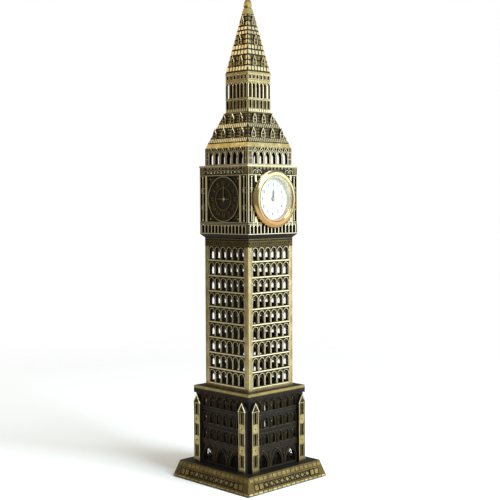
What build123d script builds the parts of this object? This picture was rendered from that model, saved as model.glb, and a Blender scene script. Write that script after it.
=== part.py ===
"""Clock-tower souvenir: a hollow tower soldered up from flat zinc castings in antique brass, with a push-in
quartz clock insert in its front wall. Millimetres, +Z up, origin at the centre of the pad that it stands on.
The front, which holds the insert, faces -Y. Walls are cast flat, mitred at the corners, and located by tabs
in the plates above and below them."""

import math
import os

from build123d import *

# ---------------------------------------------------------------- driving dimensions
SIDES = ("front", "right", "back", "left")  # each is the front turned a quarter turn about Z
PLAY = 0.05  # clearance of a tab in its slot, and of a running fit, each side

# stage heights, from the floor up
FOOT_GAP = 0.4  # the plinth hangs this far above the table, carried by the pad
PLINTH_TOP = 8.0
LOWER_TOP = 44.2
SHAFT_TOP = 114.8
CLOCK_BASE = 116.4
LEDGE_FOOT = 147.6
CLOCK_TOP = 148.4
BELFRY_TOP = 156.6
EAVE_TOP = 158.7
ROOF_TOP = 173.2
LANTERN_TOP = 190.8
SPIRE_BASE = 191.8
SPIRE_TOP = 219.4
TOWER_TOP = 227.2

# half widths of the square stages
PLINTH_FOOT = 26.0
PLINTH_HEAD = 23.6
LOWER_HALF = 18.0
CORNICE_HALF = 18.75
SHAFT_HALF = 14.65
CLOCK_HALF = 16.25
LEDGE_HALF = 16.5
BELFRY_HALF = 14.4
EAVE_HALF = 14.2
ROOF_FOOT = 13.6
ROOF_HEAD = 7.85
LANTERN_HALF = 7.45
LANTERN_CORNICE_HALF = 7.55
SPIRE_HALF = 7.4
SPIRE_CORE = (213.8, 1.5)  # top of the spire's hollow, and its half width there
FINIAL_STEPS = ((219.4, 2.0), (222.0, 1.5), (222.3, 1.15), (223.3, 1.4), (225.0, 1.2), (227.2, 0.5))
SPIRE_HEAD = 2.0

WALL = 1.2  # casting thickness of the walls
RELIEF = 0.4  # depth of the recessed fields between pilasters
TAB_WIDTH = 4.0
TAB_HEIGHT = 1.0
SHORT_TAB = 0.3  # height of a tab in a thin plate
SLOT_DEPTH = 0.6  # depth of the blind slots
PLATE_HOLE = 20.0  # square lightening hole in each floor plate

# plinth, base plate, pad and screws
PLINTH_WALL = 2.0
PLINTH_DECK = 1.6
BAND_SPAN = (1.6, 5.3)  # sunk band between the two block courses
BAND_DEPTH = 0.45
BAND_REACH = 21.5  # half its length
PLATE_SIDE = 46.4
PLATE_THICK = 1.2
PAD_THICK = 0.8
SCREW_SPOT = 19.5  # screws stand at plus and minus this in X and Y
SCREW_RADIUS = 1.0
SCREW_HEAD = 1.9
SCREW_LENGTH = 4.4  # depth of a screw's hole above the base plate
SCREW_REACH = 5.0  # a screw's height over its head
BOSS_RADIUS = 2.6
PLATE_CORNER = 1.5
PLATE_GAP = 0.1  # between the base plate and the plinth, each side
BAND_CUT = 2.0  # thickness of the tool that cuts the sunk band

# lower stage
LOWER_BAYS = 6
LOWER_PITCH = 4.65
LOWER_LIGHT = 2.3  # clear width of a window
LOWER_ROWS = ((20.0, 24.7), (27.6, 32.4), (35.2, 40.0))  # sill and apex of each row of windows
GROUND_BAYS = 3
GROUND_PITCH = 9.3
GROUND_WIDTH = 6.2
GROUND_SILL = 8.8
GROUND_APEX = 15.4
BANDS = ((17.3, 19.3, 0.55), (25.3, 27.0, 0.35), (33.8, 34.8, 0.35))  # low, high, stand-out
BUTTRESS_IN = 13.4  # nearest edge of a buttress to the wall's middle
BUTTRESS_WIDTH = 4.2
BUTTRESS_OUT = 19.8  # front plane of the buttresses
BUTTRESS_EAVE = 36.2
BUTTRESS_APEX = 40.0
BUTTRESS_SLOTS = ((10.8, 15.9), (20.9, 25.9), (30.8, 35.8))
BUTTRESS_SLOT_WIDTH = 1.2
CORNICE_FOOT = 40.8
CORNICE_SLAB = 43.0
CORNICE_TAB = 0.7

# shaft
SHAFT_ROWS = 9
SHAFT_BAYS = 6
SHAFT_BAY_PITCH = 4.04
SHAFT_ROW_PITCH = 7.28
SHAFT_FIRST_SILL = 46.4
SHAFT_LIGHT = (2.3, 4.0)  # clear width and height of a light
SHAFT_HEAD = (2.9, 5.7)  # the blind arch that each light stands in
SHAFT_HEAD_DEPTH = 0.8
SHAFT_PILASTER = 2.5
SHAFT_BAR = 0.7
SHAFT_PANEL_DROP = 0.25  # a panel's foot lies this far below its sills

# clock stage
CLOCK_CENTRE = 132.8
CLOCK_WALL = 1.4
SOCKET_RADIUS = 12.0
SOCKET_OUTER = 13.3
SOCKET_DEPTH = 3.6
DIAL_FIELD = 10.5  # half width of the square field round a cast dial
FIELD_DEPTH = 0.7
DIAL_RINGS = ((10.45, 9.7), (5.6, 5.0))  # outer and inner radius of each raised ring of a cast dial
RING_HEIGHT = 0.5
ARCADE_SLOTS = 13
ARCADE_PITCH = 2.31
ARCADE_SLOT = (1.2, 3.7)
ARCADE_MIDDLE = 118.9
SIDE_SLOTS = (12.9, 14.9)  # middles of the two narrow slots beside each pilaster
SIDE_SLOT_WIDTH = 0.9
SIDE_TIERS = ((122.7, 127.5), (130.3, 135.4), (138.1, 142.8))

# belfry and lantern
BELFRY_BAYS = 6
BELFRY_PITCH = 4.0
BELFRY_LIGHT = (2.6, 5.5)
BELFRY_SILL = 149.0
BELFRY_EYE = (0.45, 155.5)  # radius and height of the small round holes
TURRET_SLOT = (12.6, 152.6)  # place of the blind slot in each corner turret
TURRET_SIZE = (0.8, 6.0)
LANTERN_WALL = 1.2
LANTERN_BAYS = 6
LANTERN_PITCH = 2.4
LANTERN_SLOT = (1.4, 6.9)
LANTERN_SILL = 179.8
LANTERN_HOLE = 8.0  # square hole in the plate over the lantern
LANTERN_DOT = (1.1, 1.6)  # a sunk panel over each slot
LANTERN_DOT_MIDDLE = 189.4
BLIND_SLOT = (1.2, 3.7)
BLIND_SILL = 175.0

# clock insert: p is the distance out from the front wall's face, negative inside the tower
BEZEL_RADIUS = 13.5
BEZEL_RIM = 1.8  # p of the edge of the drum
BEZEL_CREST = (12.3, 2.7)  # radius and p of the highest ring
BEZEL_MOUTH = 10.5
BEZEL_SEAT = 9.9  # edge of the ledge that the lens lies on
BEZEL_THROAT = 9.4
BEZEL_BACK = 0.02  # p of its flat back, just clear of the wall
LENS_RADIUS = 10.3
LENS_SPAN = (1.9, 2.4)
DIAL_SPAN = (-0.5, -0.2)
DIAL_RADIUS = 9.9
DIAL_HOLE = 1.0
CASE_RADIUS = 10.2
CASE_BORE = 9.4
CASE_BACK = -6.4
LID_BACK = -7.2
LID_SKIRT = (0.8, 0.8)  # thickness and height of the ring that snaps into the case
LID_ROUND = 0.3
RING_RADIUS = 11.95
RING_SPAN = (-3.4, -0.1)
RING_RIBS = (-2.9, -1.9, -0.9)  # p of the back of each rib
RIB_HEIGHT = 0.35
RIB_WIDTH = 0.4
MODULE = 0.15  # gear module of the motion work
ROOT_DEPTH, TIP_HEIGHT = 1.2, 0.85  # of a tooth, in modules
FLANK = (1.5, 1.0, 0.45)  # half a tooth's width at root, pitch circle and tip, over that at the pitch circle
BACKLASH = 0.02
CANNON_TEETH = 10
MINUTE_TEETH = 30
PINION_TEETH = 8
HOUR_TEETH = 32
MINUTE_SPOT = (0.0, -MODULE * (CANNON_TEETH + MINUTE_TEETH) / 2)
MOVEMENT_SPAN = (-5.4, -2.0)
POCKET_DEPTH = 2.4
SEAT_WIDTH = 1.0  # rim that the dial rests on
CELL_RADIUS = 3.4
CELL_SPOT = (-4.3, -3.2)
CELL_SPAN = (-5.3, -3.2)
CELL_ROUND = 0.25
COIL_SPOT = (-1.0, 5.4)
COIL_SIZE = (9.0, 2.2)
STEM_POCKET = (7.9, 3.4)  # middle and length of the pocket round the stem
ARBOR_RADIUS = 0.25
ARBOR_LENGTH = 1.2
ARBOR_HOLE = 1.4
CANNON_PIPE = (0.45, 0.3)  # radius in the hour wheel, and where the minute hand sits
HOUR_PIPE = (0.8, 0.65)
GEAR_LOW = (-1.9, -1.6)  # cannon pinion and minute wheel
GEAR_HIGH = (-1.5, -1.2)  # hour wheel
HOUR_HAND = (4.0, 1.0, 0.45)  # length, tail and width
MINUTE_HAND = (6.6, 1.3, 0.3)
HUB_RIM = 0.2
LEAF = (0.6, 0.75)  # where along a hand its leaf is widest, and its half width there over the hand's width
HAND_HOUR = (0.2, 0.35)
HAND_MINUTE = (0.6, 0.75)
CROWN_RADIUS = 1.1
CROWN_KNURLS = 16
KNURL_RADIUS = 0.1
CROWN_SPAN = (10.35, 11.05)  # distance from the insert's axis
CROWN_P = -4.8
STEM_RADIUS = 0.35
STEM_LENGTH = 3.9
GROOVE_RADIUS = 0.2
LEVER_X = 7.4
LEVER_THICK = 0.4
LEVER_TALL = 1.8

os.makedirs("parts", exist_ok=True)


def save(part, name):
    """Labels a finished piece and writes its STEP file."""
    part.label = name
    export_step(part, f"parts/{name}.step")


def save_turned(part, name):
    """Writes the same casting for all four sides."""
    for turn, side in enumerate(SIDES):
        save(part.rotate(Axis.Z, 90 * turn), f"{name}_{side}")


def spread(count, pitch):
    """Evenly pitched places, centred on zero."""
    return [(i - (count - 1) / 2) * pitch for i in range(count)]


def face_plane(half):
    """The front face of a square stage: local x is +X, local y is +Z, and it looks along -Y."""
    return Plane.XZ.offset(half)


def ring_corners(outer, thick):
    """Plan of one mitred wall: its outer edge, then its inner edge."""
    inner = outer - thick
    return [(-outer, -outer), (outer, -outer), (inner, -inner), (-inner, -inner)]


def mitred_block(half, thick, low, high):
    """A straight wall of the front side, adding to the part that is open."""
    with BuildSketch(Plane.XY.offset(low)) as plan:
        Polygon(*ring_corners(half, thick), align=None)
    extrude(plan.sketch, amount=high - low)


def tab_block(half, thick, low, high, play=0.0):
    """A locating tab, or with play its slot, in the middle of a wall's thickness."""
    with Locations((0, -(half - thick / 2), low)):
        Box(
            TAB_WIDTH + 2 * play,
            thick / 2 + 2 * play,
            high - low,
            align=(Align.CENTER, Align.CENTER, Align.MIN),
            mode=Mode.SUBTRACT if play else Mode.ADD,
        )


def tab_slots(half, thick, low, high):
    """Slots in a plate for the four walls that stand in it."""
    for turn in range(4):
        spin = math.radians(90 * turn)
        reach = half - thick / 2
        with Locations(Location((reach * math.sin(spin), -reach * math.cos(spin), low), (0, 0, 90 * turn))):
            Box(
                TAB_WIDTH + 2 * PLAY,
                thick / 2 + 2 * PLAY,
                high - low,
                align=(Align.CENTER, Align.CENTER, Align.MIN),
                mode=Mode.SUBTRACT,
            )


def round_light(width, height):
    """Outline of a round-headed opening, standing on its sill at the origin."""
    rise = height - width / 2
    with BuildSketch(mode=Mode.PRIVATE) as light:
        with BuildLine():
            Polyline((-width / 2, rise), (-width / 2, 0), (width / 2, 0), (width / 2, rise))
            ThreePointArc((width / 2, rise), (0, height), (-width / 2, rise))
        make_face()
    return light.sketch


def pointed_light(width, height):
    """Outline of a pointed opening whose two arcs are struck from the opposite springing points."""
    rise = height - width * math.sqrt(3) / 2
    bow = (width / 2 - width * (1 - math.cos(math.radians(30))), rise + width / 2)
    with BuildSketch(mode=Mode.PRIVATE) as light:
        with BuildLine():
            Polyline((-width / 2, rise), (-width / 2, 0), (width / 2, 0), (width / 2, rise))
            ThreePointArc((width / 2, rise), bow, (0, height))
            ThreePointArc((0, height), (-bow[0], bow[1]), (-width / 2, rise))
        make_face()
    return light.sketch


def pierce(light, half, places, depth):
    """Cuts copies of an outline into the front wall, to a depth from its face."""
    with BuildSketch(face_plane(half)) as lights:
        with Locations(*places):
            add(light)
    extrude(lights.sketch, amount=-depth, mode=Mode.SUBTRACT)


def sink(half, places, size, depth):
    """Cuts rectangular recesses into the front wall; places are the middles of the rectangles."""
    with BuildSketch(face_plane(half)) as fields:
        with Locations(*places):
            Rectangle(*size)
    extrude(fields.sketch, amount=-depth, mode=Mode.SUBTRACT)


def section_plane(turn):
    """A plane through Z across one side: local x points out of that side and local y is +Z."""
    spin = math.radians(90 * turn)
    out = (math.sin(spin), -math.cos(spin), 0)
    return Plane((0, 0, 0), x_dir=out, z_dir=(out[1], -out[0], 0))


def floor_plate(half, low, high, hole=PLATE_HOLE):
    """A square plate with a square hole, adding to the part that is open."""
    with BuildSketch(Plane.XY.offset(low)) as plan:
        Rectangle(2 * half, 2 * half)
        Rectangle(hole, hole, mode=Mode.SUBTRACT)
    extrude(plan.sketch, amount=high - low)


# ---------------------------------------------------------------- plinth
SCREW_PLACES = [(x, y) for x in (-SCREW_SPOT, SCREW_SPOT) for y in (-SCREW_SPOT, SCREW_SPOT)]
DECK_UNDER = PLINTH_TOP - PLINTH_DECK
PLATE_TOP = PAD_THICK + PLATE_THICK


def make_plinth():
    """Hollow truncated pyramid with a deck, a sunk band, and four screw bosses."""
    slope = (PLINTH_FOOT - PLINTH_HEAD) / (PLINTH_TOP - FOOT_GAP)
    with BuildPart() as plinth:
        with BuildSketch(Plane.XY.offset(FOOT_GAP)):
            Rectangle(2 * PLINTH_FOOT, 2 * PLINTH_FOOT)
        with BuildSketch(Plane.XY.offset(PLINTH_TOP)):
            Rectangle(2 * PLINTH_HEAD, 2 * PLINTH_HEAD)
        loft(ruled=True)
        with BuildSketch(Plane.XY.offset(FOOT_GAP)):
            Rectangle(PLATE_SIDE + 2 * PLATE_GAP, PLATE_SIDE + 2 * PLATE_GAP)
        extrude(amount=PLATE_TOP - FOOT_GAP, mode=Mode.SUBTRACT)
        with BuildSketch(Plane.XY.offset(PLATE_TOP)):
            Rectangle(2 * (PLINTH_HEAD - PLINTH_WALL), 2 * (PLINTH_HEAD - PLINTH_WALL))
        extrude(amount=DECK_UNDER - PLATE_TOP, mode=Mode.SUBTRACT)
        with BuildSketch(Plane.XY.offset(PLATE_TOP)):
            with Locations(*SCREW_PLACES):
                Circle(BOSS_RADIUS)
        extrude(amount=DECK_UNDER - PLATE_TOP)
        with Locations(*[(x, y, PLATE_TOP) for x, y in SCREW_PLACES]):
            Cylinder(
                SCREW_RADIUS, SCREW_LENGTH, align=(Align.CENTER, Align.CENTER, Align.MIN), mode=Mode.SUBTRACT
            )
        # the sunk band runs round the slope between the two block courses
        low, high = BAND_SPAN
        foot = PLINTH_FOOT - slope * (low - FOOT_GAP) - BAND_DEPTH
        head = PLINTH_FOOT - slope * (high - FOOT_GAP) - BAND_DEPTH
        for turn in range(4):
            with BuildSketch(section_plane(turn)):
                far = [(head + BAND_CUT, high), (foot + BAND_CUT, low)]
                Polygon((foot, low), (head, high), *far, align=None)
            extrude(amount=BAND_REACH, both=True, mode=Mode.SUBTRACT)
        tab_slots(LOWER_HALF, WALL, PLINTH_TOP - TAB_HEIGHT - PLAY, PLINTH_TOP)
    return plinth.part


def make_base_plate():
    """Pressed steel closing plate, countersunk for its screws."""
    with BuildPart() as plate:
        with BuildSketch(Plane.XY.offset(PAD_THICK)):
            RectangleRounded(PLATE_SIDE, PLATE_SIDE, PLATE_CORNER)
        extrude(amount=PLATE_THICK)
        with Locations(*[Location((x, y, PAD_THICK), (180, 0, 0)) for x, y in SCREW_PLACES]):
            CounterSinkHole(SCREW_RADIUS + 2 * PLAY, SCREW_HEAD + 2 * PLAY, depth=2 * PLATE_THICK)
    return plate.part


def make_base_pad():
    """Moulded rubber pad that the tower stands on."""
    with BuildPart() as pad:
        with BuildSketch():
            RectangleRounded(PLATE_SIDE, PLATE_SIDE, PLATE_CORNER)
        extrude(amount=PAD_THICK)
    return pad.part


def make_screws():
    """Four countersunk screws, up through the base plate into the plinth's bosses."""
    with BuildPart() as screws:
        for x, y in SCREW_PLACES:
            with BuildSketch(Plane.XZ.offset(-y)):
                with Locations((x, PAD_THICK)):
                    Polygon(
                        (0, 0),
                        (SCREW_HEAD, 0),
                        (SCREW_RADIUS, SCREW_HEAD - SCREW_RADIUS),
                        (SCREW_RADIUS, SCREW_REACH),
                        (0, SCREW_REACH),
                        align=None,
                    )
            revolve(axis=Axis((x, y, 0), (0, 0, 1)))
    return screws.part


# ---------------------------------------------------------------- lower stage
def make_lower_wall():
    """Wall with three ground arches, three rows of pointed windows, bands and two gabled buttresses."""
    with BuildPart() as wall:
        mitred_block(LOWER_HALF, WALL, PLINTH_TOP, CORNICE_SLAB)
        mitred_block(CORNICE_HALF, CORNICE_HALF - LOWER_HALF, CORNICE_FOOT, CORNICE_SLAB)
        for low, high, stand in BANDS:
            with Locations((0, -LOWER_HALF, (low + high) / 2)):
                Box(2 * BUTTRESS_IN, stand, high - low, align=(Align.CENTER, Align.MAX, Align.CENTER))
        for side in (-1, 1):
            middle = side * (BUTTRESS_IN + BUTTRESS_WIDTH / 2)
            with BuildSketch(face_plane(LOWER_HALF)):
                with Locations((middle, 0)):
                    Polygon(
                        (-BUTTRESS_WIDTH / 2, PLINTH_TOP),
                        (BUTTRESS_WIDTH / 2, PLINTH_TOP),
                        (BUTTRESS_WIDTH / 2, BUTTRESS_EAVE),
                        (0, BUTTRESS_APEX),
                        (-BUTTRESS_WIDTH / 2, BUTTRESS_EAVE),
                        align=None,
                    )
            extrude(amount=BUTTRESS_OUT - LOWER_HALF)
            for low, high in BUTTRESS_SLOTS:
                slot = (BUTTRESS_SLOT_WIDTH, high - low)
                sink(BUTTRESS_OUT, [(middle, (low + high) / 2)], slot, SLOT_DEPTH)
        for sill, apex in LOWER_ROWS:
            places = [(x, sill) for x in spread(LOWER_BAYS, LOWER_PITCH)]
            pierce(pointed_light(LOWER_LIGHT, apex - sill), LOWER_HALF, places, WALL)
        arches = [(x, GROUND_SILL) for x in spread(GROUND_BAYS, GROUND_PITCH)]
        pierce(pointed_light(GROUND_WIDTH, GROUND_APEX - GROUND_SILL), LOWER_HALF, arches, WALL)
        tab_block(LOWER_HALF, WALL, PLINTH_TOP - TAB_HEIGHT, PLINTH_TOP)
        tab_block(LOWER_HALF, WALL, CORNICE_SLAB, CORNICE_SLAB + CORNICE_TAB)
    return wall.part


def make_lower_cornice():
    """Slab that caps the lower stage and carries the shaft."""
    with BuildPart() as cornice:
        floor_plate(CORNICE_HALF, CORNICE_SLAB, LOWER_TOP)
        tab_slots(LOWER_HALF, WALL, CORNICE_SLAB, CORNICE_SLAB + CORNICE_TAB + PLAY)
        tab_slots(SHAFT_HALF, WALL, LOWER_TOP - TAB_HEIGHT - PLAY, LOWER_TOP)
    return cornice.part


# ---------------------------------------------------------------- shaft
def make_shaft_wall():
    """Wall with nine rows of six blind arches, each with a pointed light, between plain corner pilasters."""
    field = 2 * (SHAFT_HALF - SHAFT_PILASTER)
    with BuildPart() as wall:
        mitred_block(SHAFT_HALF, WALL, LOWER_TOP, SHAFT_TOP)
        sills = [SHAFT_FIRST_SILL + row * SHAFT_ROW_PITCH for row in range(SHAFT_ROWS)]
        panel_height = SHAFT_ROW_PITCH - SHAFT_BAR
        panels = [(0, sill - SHAFT_PANEL_DROP + panel_height / 2) for sill in sills]
        sink(SHAFT_HALF, panels, (field, panel_height), RELIEF)
        places = [(x, sill) for sill in sills for x in spread(SHAFT_BAYS, SHAFT_BAY_PITCH)]
        pierce(round_light(*SHAFT_HEAD), SHAFT_HALF, places, SHAFT_HEAD_DEPTH)
        pierce(pointed_light(*SHAFT_LIGHT), SHAFT_HALF, places, WALL)
        tab_block(SHAFT_HALF, WALL, LOWER_TOP - TAB_HEIGHT, LOWER_TOP)
        tab_block(SHAFT_HALF, WALL, SHAFT_TOP, SHAFT_TOP + TAB_HEIGHT)
    return wall.part


# ---------------------------------------------------------------- clock stage
def make_clock_corbel():
    """Plate between the shaft and the clock stage, with a hollow moulding round its underside."""
    with BuildPart() as corbel:
        floor_plate(CLOCK_HALF, SHAFT_TOP, CLOCK_BASE)
        under = corbel.faces().sort_by(Axis.Z)[0].outer_wire().edges()
        chamfer(under, CLOCK_HALF - SHAFT_HALF - 2 * PLAY)
        tab_slots(SHAFT_HALF, WALL, SHAFT_TOP, SHAFT_TOP + TAB_HEIGHT + PLAY)
        tab_slots(CLOCK_HALF, CLOCK_WALL, CLOCK_BASE - SHORT_TAB - PLAY, CLOCK_BASE)
    return corbel.part


def clock_wall_body():
    """What all four clock walls share: the arcade below, and the narrow slots at the sides."""
    mitred_block(CLOCK_HALF, CLOCK_WALL, CLOCK_BASE, LEDGE_FOOT)
    arcade = [(x, ARCADE_MIDDLE) for x in spread(ARCADE_SLOTS, ARCADE_PITCH)]
    sink(CLOCK_HALF, arcade, ARCADE_SLOT, SLOT_DEPTH)
    for low, high in SIDE_TIERS:
        places = [(s * x, (low + high) / 2) for x in SIDE_SLOTS for s in (-1, 1)]
        sink(CLOCK_HALF, places, (SIDE_SLOT_WIDTH, high - low), SLOT_DEPTH)
    tab_block(CLOCK_HALF, CLOCK_WALL, CLOCK_BASE - SHORT_TAB, CLOCK_BASE)
    tab_block(CLOCK_HALF, CLOCK_WALL, LEDGE_FOOT, LEDGE_FOOT + SHORT_TAB)


def make_clock_wall():
    """Wall with a dial cast in relief inside a sunk square field."""
    with BuildPart() as wall:
        clock_wall_body()
        sink(CLOCK_HALF, [(0, CLOCK_CENTRE)], (2 * DIAL_FIELD, 2 * DIAL_FIELD), FIELD_DEPTH)
        with BuildSketch(face_plane(CLOCK_HALF - FIELD_DEPTH)):
            with Locations((0, CLOCK_CENTRE)):
                for outer, inner in DIAL_RINGS:
                    Circle(outer)
                    Circle(inner, mode=Mode.SUBTRACT)
        extrude(amount=RING_HEIGHT)
    return wall.part


def make_clock_wall_front():
    """Wall with the round socket that the clock insert pushes into."""
    with BuildPart() as wall:
        clock_wall_body()
        with BuildSketch(face_plane(CLOCK_HALF - CLOCK_WALL)):
            with Locations((0, CLOCK_CENTRE)):
                Circle(SOCKET_OUTER)
        extrude(amount=-(SOCKET_DEPTH - CLOCK_WALL))
        with BuildSketch(face_plane(CLOCK_HALF)):
            with Locations((0, CLOCK_CENTRE)):
                Circle(SOCKET_RADIUS)
        extrude(amount=-SOCKET_DEPTH, mode=Mode.SUBTRACT)
    return wall.part


def make_clock_ledge():
    """Ledge plate over the clock stage, which carries the belfry."""
    with BuildPart() as ledge:
        floor_plate(LEDGE_HALF, LEDGE_FOOT, CLOCK_TOP)
        tab_slots(CLOCK_HALF, CLOCK_WALL, LEDGE_FOOT, LEDGE_FOOT + SHORT_TAB + PLAY)
        tab_slots(BELFRY_HALF, WALL, CLOCK_TOP - SHORT_TAB - PLAY, CLOCK_TOP)
    return ledge.part


# ---------------------------------------------------------------- belfry, roof, lantern, spire
def make_belfry_wall():
    """Wall with six pointed lights, each under a small round eye."""
    with BuildPart() as wall:
        mitred_block(BELFRY_HALF, WALL, CLOCK_TOP, BELFRY_TOP)
        places = [(x, BELFRY_SILL) for x in spread(BELFRY_BAYS, BELFRY_PITCH)]
        pierce(pointed_light(*BELFRY_LIGHT), BELFRY_HALF, places, WALL)
        with BuildSketch(face_plane(BELFRY_HALF)):
            with Locations(*[(x, BELFRY_EYE[1]) for x in spread(BELFRY_BAYS, BELFRY_PITCH)]):
                Circle(BELFRY_EYE[0])
        extrude(amount=-WALL, mode=Mode.SUBTRACT)
        sink(BELFRY_HALF, [(s * TURRET_SLOT[0], TURRET_SLOT[1]) for s in (-1, 1)], TURRET_SIZE, RELIEF)
        tab_block(BELFRY_HALF, WALL, CLOCK_TOP - SHORT_TAB, CLOCK_TOP)
    return wall.part


def make_eave():
    """Smooth eave that closes the belfry, drawn in towards the roof."""
    with BuildPart() as eave:
        with BuildSketch(Plane.XY.offset(BELFRY_TOP)):
            Rectangle(2 * EAVE_HALF, 2 * EAVE_HALF)
        with BuildSketch(Plane.XY.offset(EAVE_TOP)):
            Rectangle(2 * ROOF_FOOT, 2 * ROOF_FOOT)
        loft(ruled=True)
        with BuildSketch(Plane.XY.offset(BELFRY_TOP)):
            Rectangle(PLATE_HOLE, PLATE_HOLE)
        extrude(amount=EAVE_TOP - BELFRY_TOP, mode=Mode.SUBTRACT)
    return eave.part


def make_roof_slope():
    """One slope of the lower roof, mitred to its neighbours."""
    with BuildPart() as slope:
        with BuildSketch(Plane.XY.offset(EAVE_TOP)):
            Polygon(*ring_corners(ROOF_FOOT, WALL), align=None)
        with BuildSketch(Plane.XY.offset(ROOF_TOP)):
            Polygon(*ring_corners(ROOF_HEAD, WALL), align=None)
        loft(ruled=True)
    return slope.part


def make_lantern_wall():
    """Wall with six open slots over a blind arcade, and a row of sunk squares."""
    with BuildPart() as wall:
        mitred_block(LANTERN_HALF, LANTERN_WALL, ROOF_TOP, LANTERN_TOP)
        bays = spread(LANTERN_BAYS, LANTERN_PITCH)
        pierce(round_light(*LANTERN_SLOT), LANTERN_HALF, [(x, LANTERN_SILL) for x in bays], LANTERN_WALL)
        sink(LANTERN_HALF, [(x, LANTERN_DOT_MIDDLE) for x in bays], LANTERN_DOT, RELIEF)
        pierce(round_light(*BLIND_SLOT), LANTERN_HALF, [(x, BLIND_SILL) for x in bays], RELIEF)
    return wall.part


def make_lantern_cornice():
    """Plate that closes the lantern and carries the spire."""
    with BuildPart() as cornice:
        floor_plate(LANTERN_CORNICE_HALF, LANTERN_TOP, SPIRE_BASE, LANTERN_HOLE)
    return cornice.part


def make_spire():
    """Hollow spire, cast in one piece and open below."""
    with BuildPart() as spire:
        with BuildSketch(Plane.XY.offset(SPIRE_BASE)):
            Rectangle(2 * SPIRE_HALF, 2 * SPIRE_HALF)
        with BuildSketch(Plane.XY.offset(SPIRE_TOP)):
            Rectangle(2 * SPIRE_HEAD, 2 * SPIRE_HEAD)
        loft(ruled=True)
        with BuildSketch(Plane.XY.offset(SPIRE_BASE)):
            Rectangle(2 * (SPIRE_HALF - WALL), 2 * (SPIRE_HALF - WALL))
        with BuildSketch(Plane.XY.offset(SPIRE_CORE[0])):
            Rectangle(2 * SPIRE_CORE[1], 2 * SPIRE_CORE[1])
        loft(ruled=True, mode=Mode.SUBTRACT)
    return spire.part


def make_finial():
    """Small four-sided finial on the spire's blunt top."""
    stages = list(zip(FINIAL_STEPS, FINIAL_STEPS[1:]))
    with BuildPart() as finial:
        for (low, foot), (high, head) in stages:
            with BuildSketch(Plane.XY.offset(low)):
                Rectangle(2 * foot, 2 * foot)
            with BuildSketch(Plane.XY.offset(high)):
                Rectangle(2 * head, 2 * head)
            loft(ruled=True)
    return finial.part


# ---------------------------------------------------------------- clock insert
def from_wall(p):
    """Y of a plane that stands p out from the front wall's face."""
    return -(CLOCK_HALF + p)


def insert_plane(p):
    """Plane across the insert's axis, looking out of the tower, with its origin on that axis."""
    return Plane((0, from_wall(p), CLOCK_CENTRE), x_dir=(1, 0, 0), z_dir=(0, -1, 0))


INSERT_AXIS = Axis((0, 0, CLOCK_CENTRE), (0, -1, 0))


def turned_profile(points):
    """Revolves an outline of (radius, p) points about the insert's axis."""
    with BuildSketch(Plane((0, 0, CLOCK_CENTRE), x_dir=(1, 0, 0), z_dir=(0, 0, 1))) as outline:
        Polygon(*[(radius, from_wall(p)) for radius, p in points], align=None)
    revolve(outline.sketch, axis=INSERT_AXIS)


def make_bezel():
    """Spun bezel: a rounded sloping ring round the lens seat, with a short skirt over the case."""
    with BuildPart() as bezel:
        turned_profile(
            [
                (CASE_RADIUS, BEZEL_BACK),
                (BEZEL_RADIUS, BEZEL_BACK),
                (BEZEL_RADIUS, BEZEL_RIM),
                ((BEZEL_RADIUS + BEZEL_CREST[0]) / 2, (BEZEL_RIM + 3 * BEZEL_CREST[1]) / 4),
                BEZEL_CREST,
                (BEZEL_MOUTH, LENS_SPAN[1]),
                (LENS_RADIUS + PLAY, LENS_SPAN[1]),
                (LENS_RADIUS + PLAY, LENS_SPAN[0]),
                (BEZEL_SEAT, LENS_SPAN[0]),
                (BEZEL_THROAT, DIAL_SPAN[1]),
                (CASE_RADIUS, DIAL_SPAN[1]),
            ]
        )
    return bezel.part


def make_lens():
    """Flat mineral lens."""
    with BuildPart() as lens:
        with BuildSketch(insert_plane(LENS_SPAN[0])):
            Circle(LENS_RADIUS)
        extrude(amount=LENS_SPAN[1] - LENS_SPAN[0])
    return lens.part


def make_dial():
    """Printed dial disc."""
    with BuildPart() as dial:
        with BuildSketch(insert_plane(DIAL_SPAN[0])):
            Circle(DIAL_RADIUS)
            Circle(DIAL_HOLE, mode=Mode.SUBTRACT)
        extrude(amount=DIAL_SPAN[1] - DIAL_SPAN[0])
    return dial.part


def make_case():
    """Tubular case that holds the movement, with a hole for the setting stem."""
    with BuildPart() as case:
        with BuildSketch(insert_plane(CASE_BACK)):
            Circle(CASE_RADIUS)
            Circle(CASE_BORE, mode=Mode.SUBTRACT)
        extrude(amount=DIAL_SPAN[0] - CASE_BACK)
        with BuildSketch(insert_plane(DIAL_SPAN[0])):
            Circle(CASE_RADIUS)
            Circle(DIAL_RADIUS + PLAY, mode=Mode.SUBTRACT)
        extrude(amount=DIAL_SPAN[1] - DIAL_SPAN[0])
        with Locations(Location((CASE_BORE, from_wall(CROWN_P), CLOCK_CENTRE), (0, 90, 0))):
            Cylinder(STEM_RADIUS + PLAY, 4 * (CASE_RADIUS - CASE_BORE), mode=Mode.SUBTRACT)
    return case.part


def make_case_lid():
    """Snap-on case back."""
    with BuildPart() as lid:
        with BuildSketch(insert_plane(LID_BACK)):
            Circle(CASE_RADIUS)
        extrude(amount=CASE_BACK - LID_BACK)
        with BuildSketch(insert_plane(CASE_BACK)):
            Circle(CASE_BORE - PLAY)
            Circle(CASE_BORE - LID_SKIRT[0], mode=Mode.SUBTRACT)
        extrude(amount=LID_SKIRT[1])
        fillet(lid.faces().sort_by(Axis.Y)[-1].edges(), LID_ROUND)
    return lid.part


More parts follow.
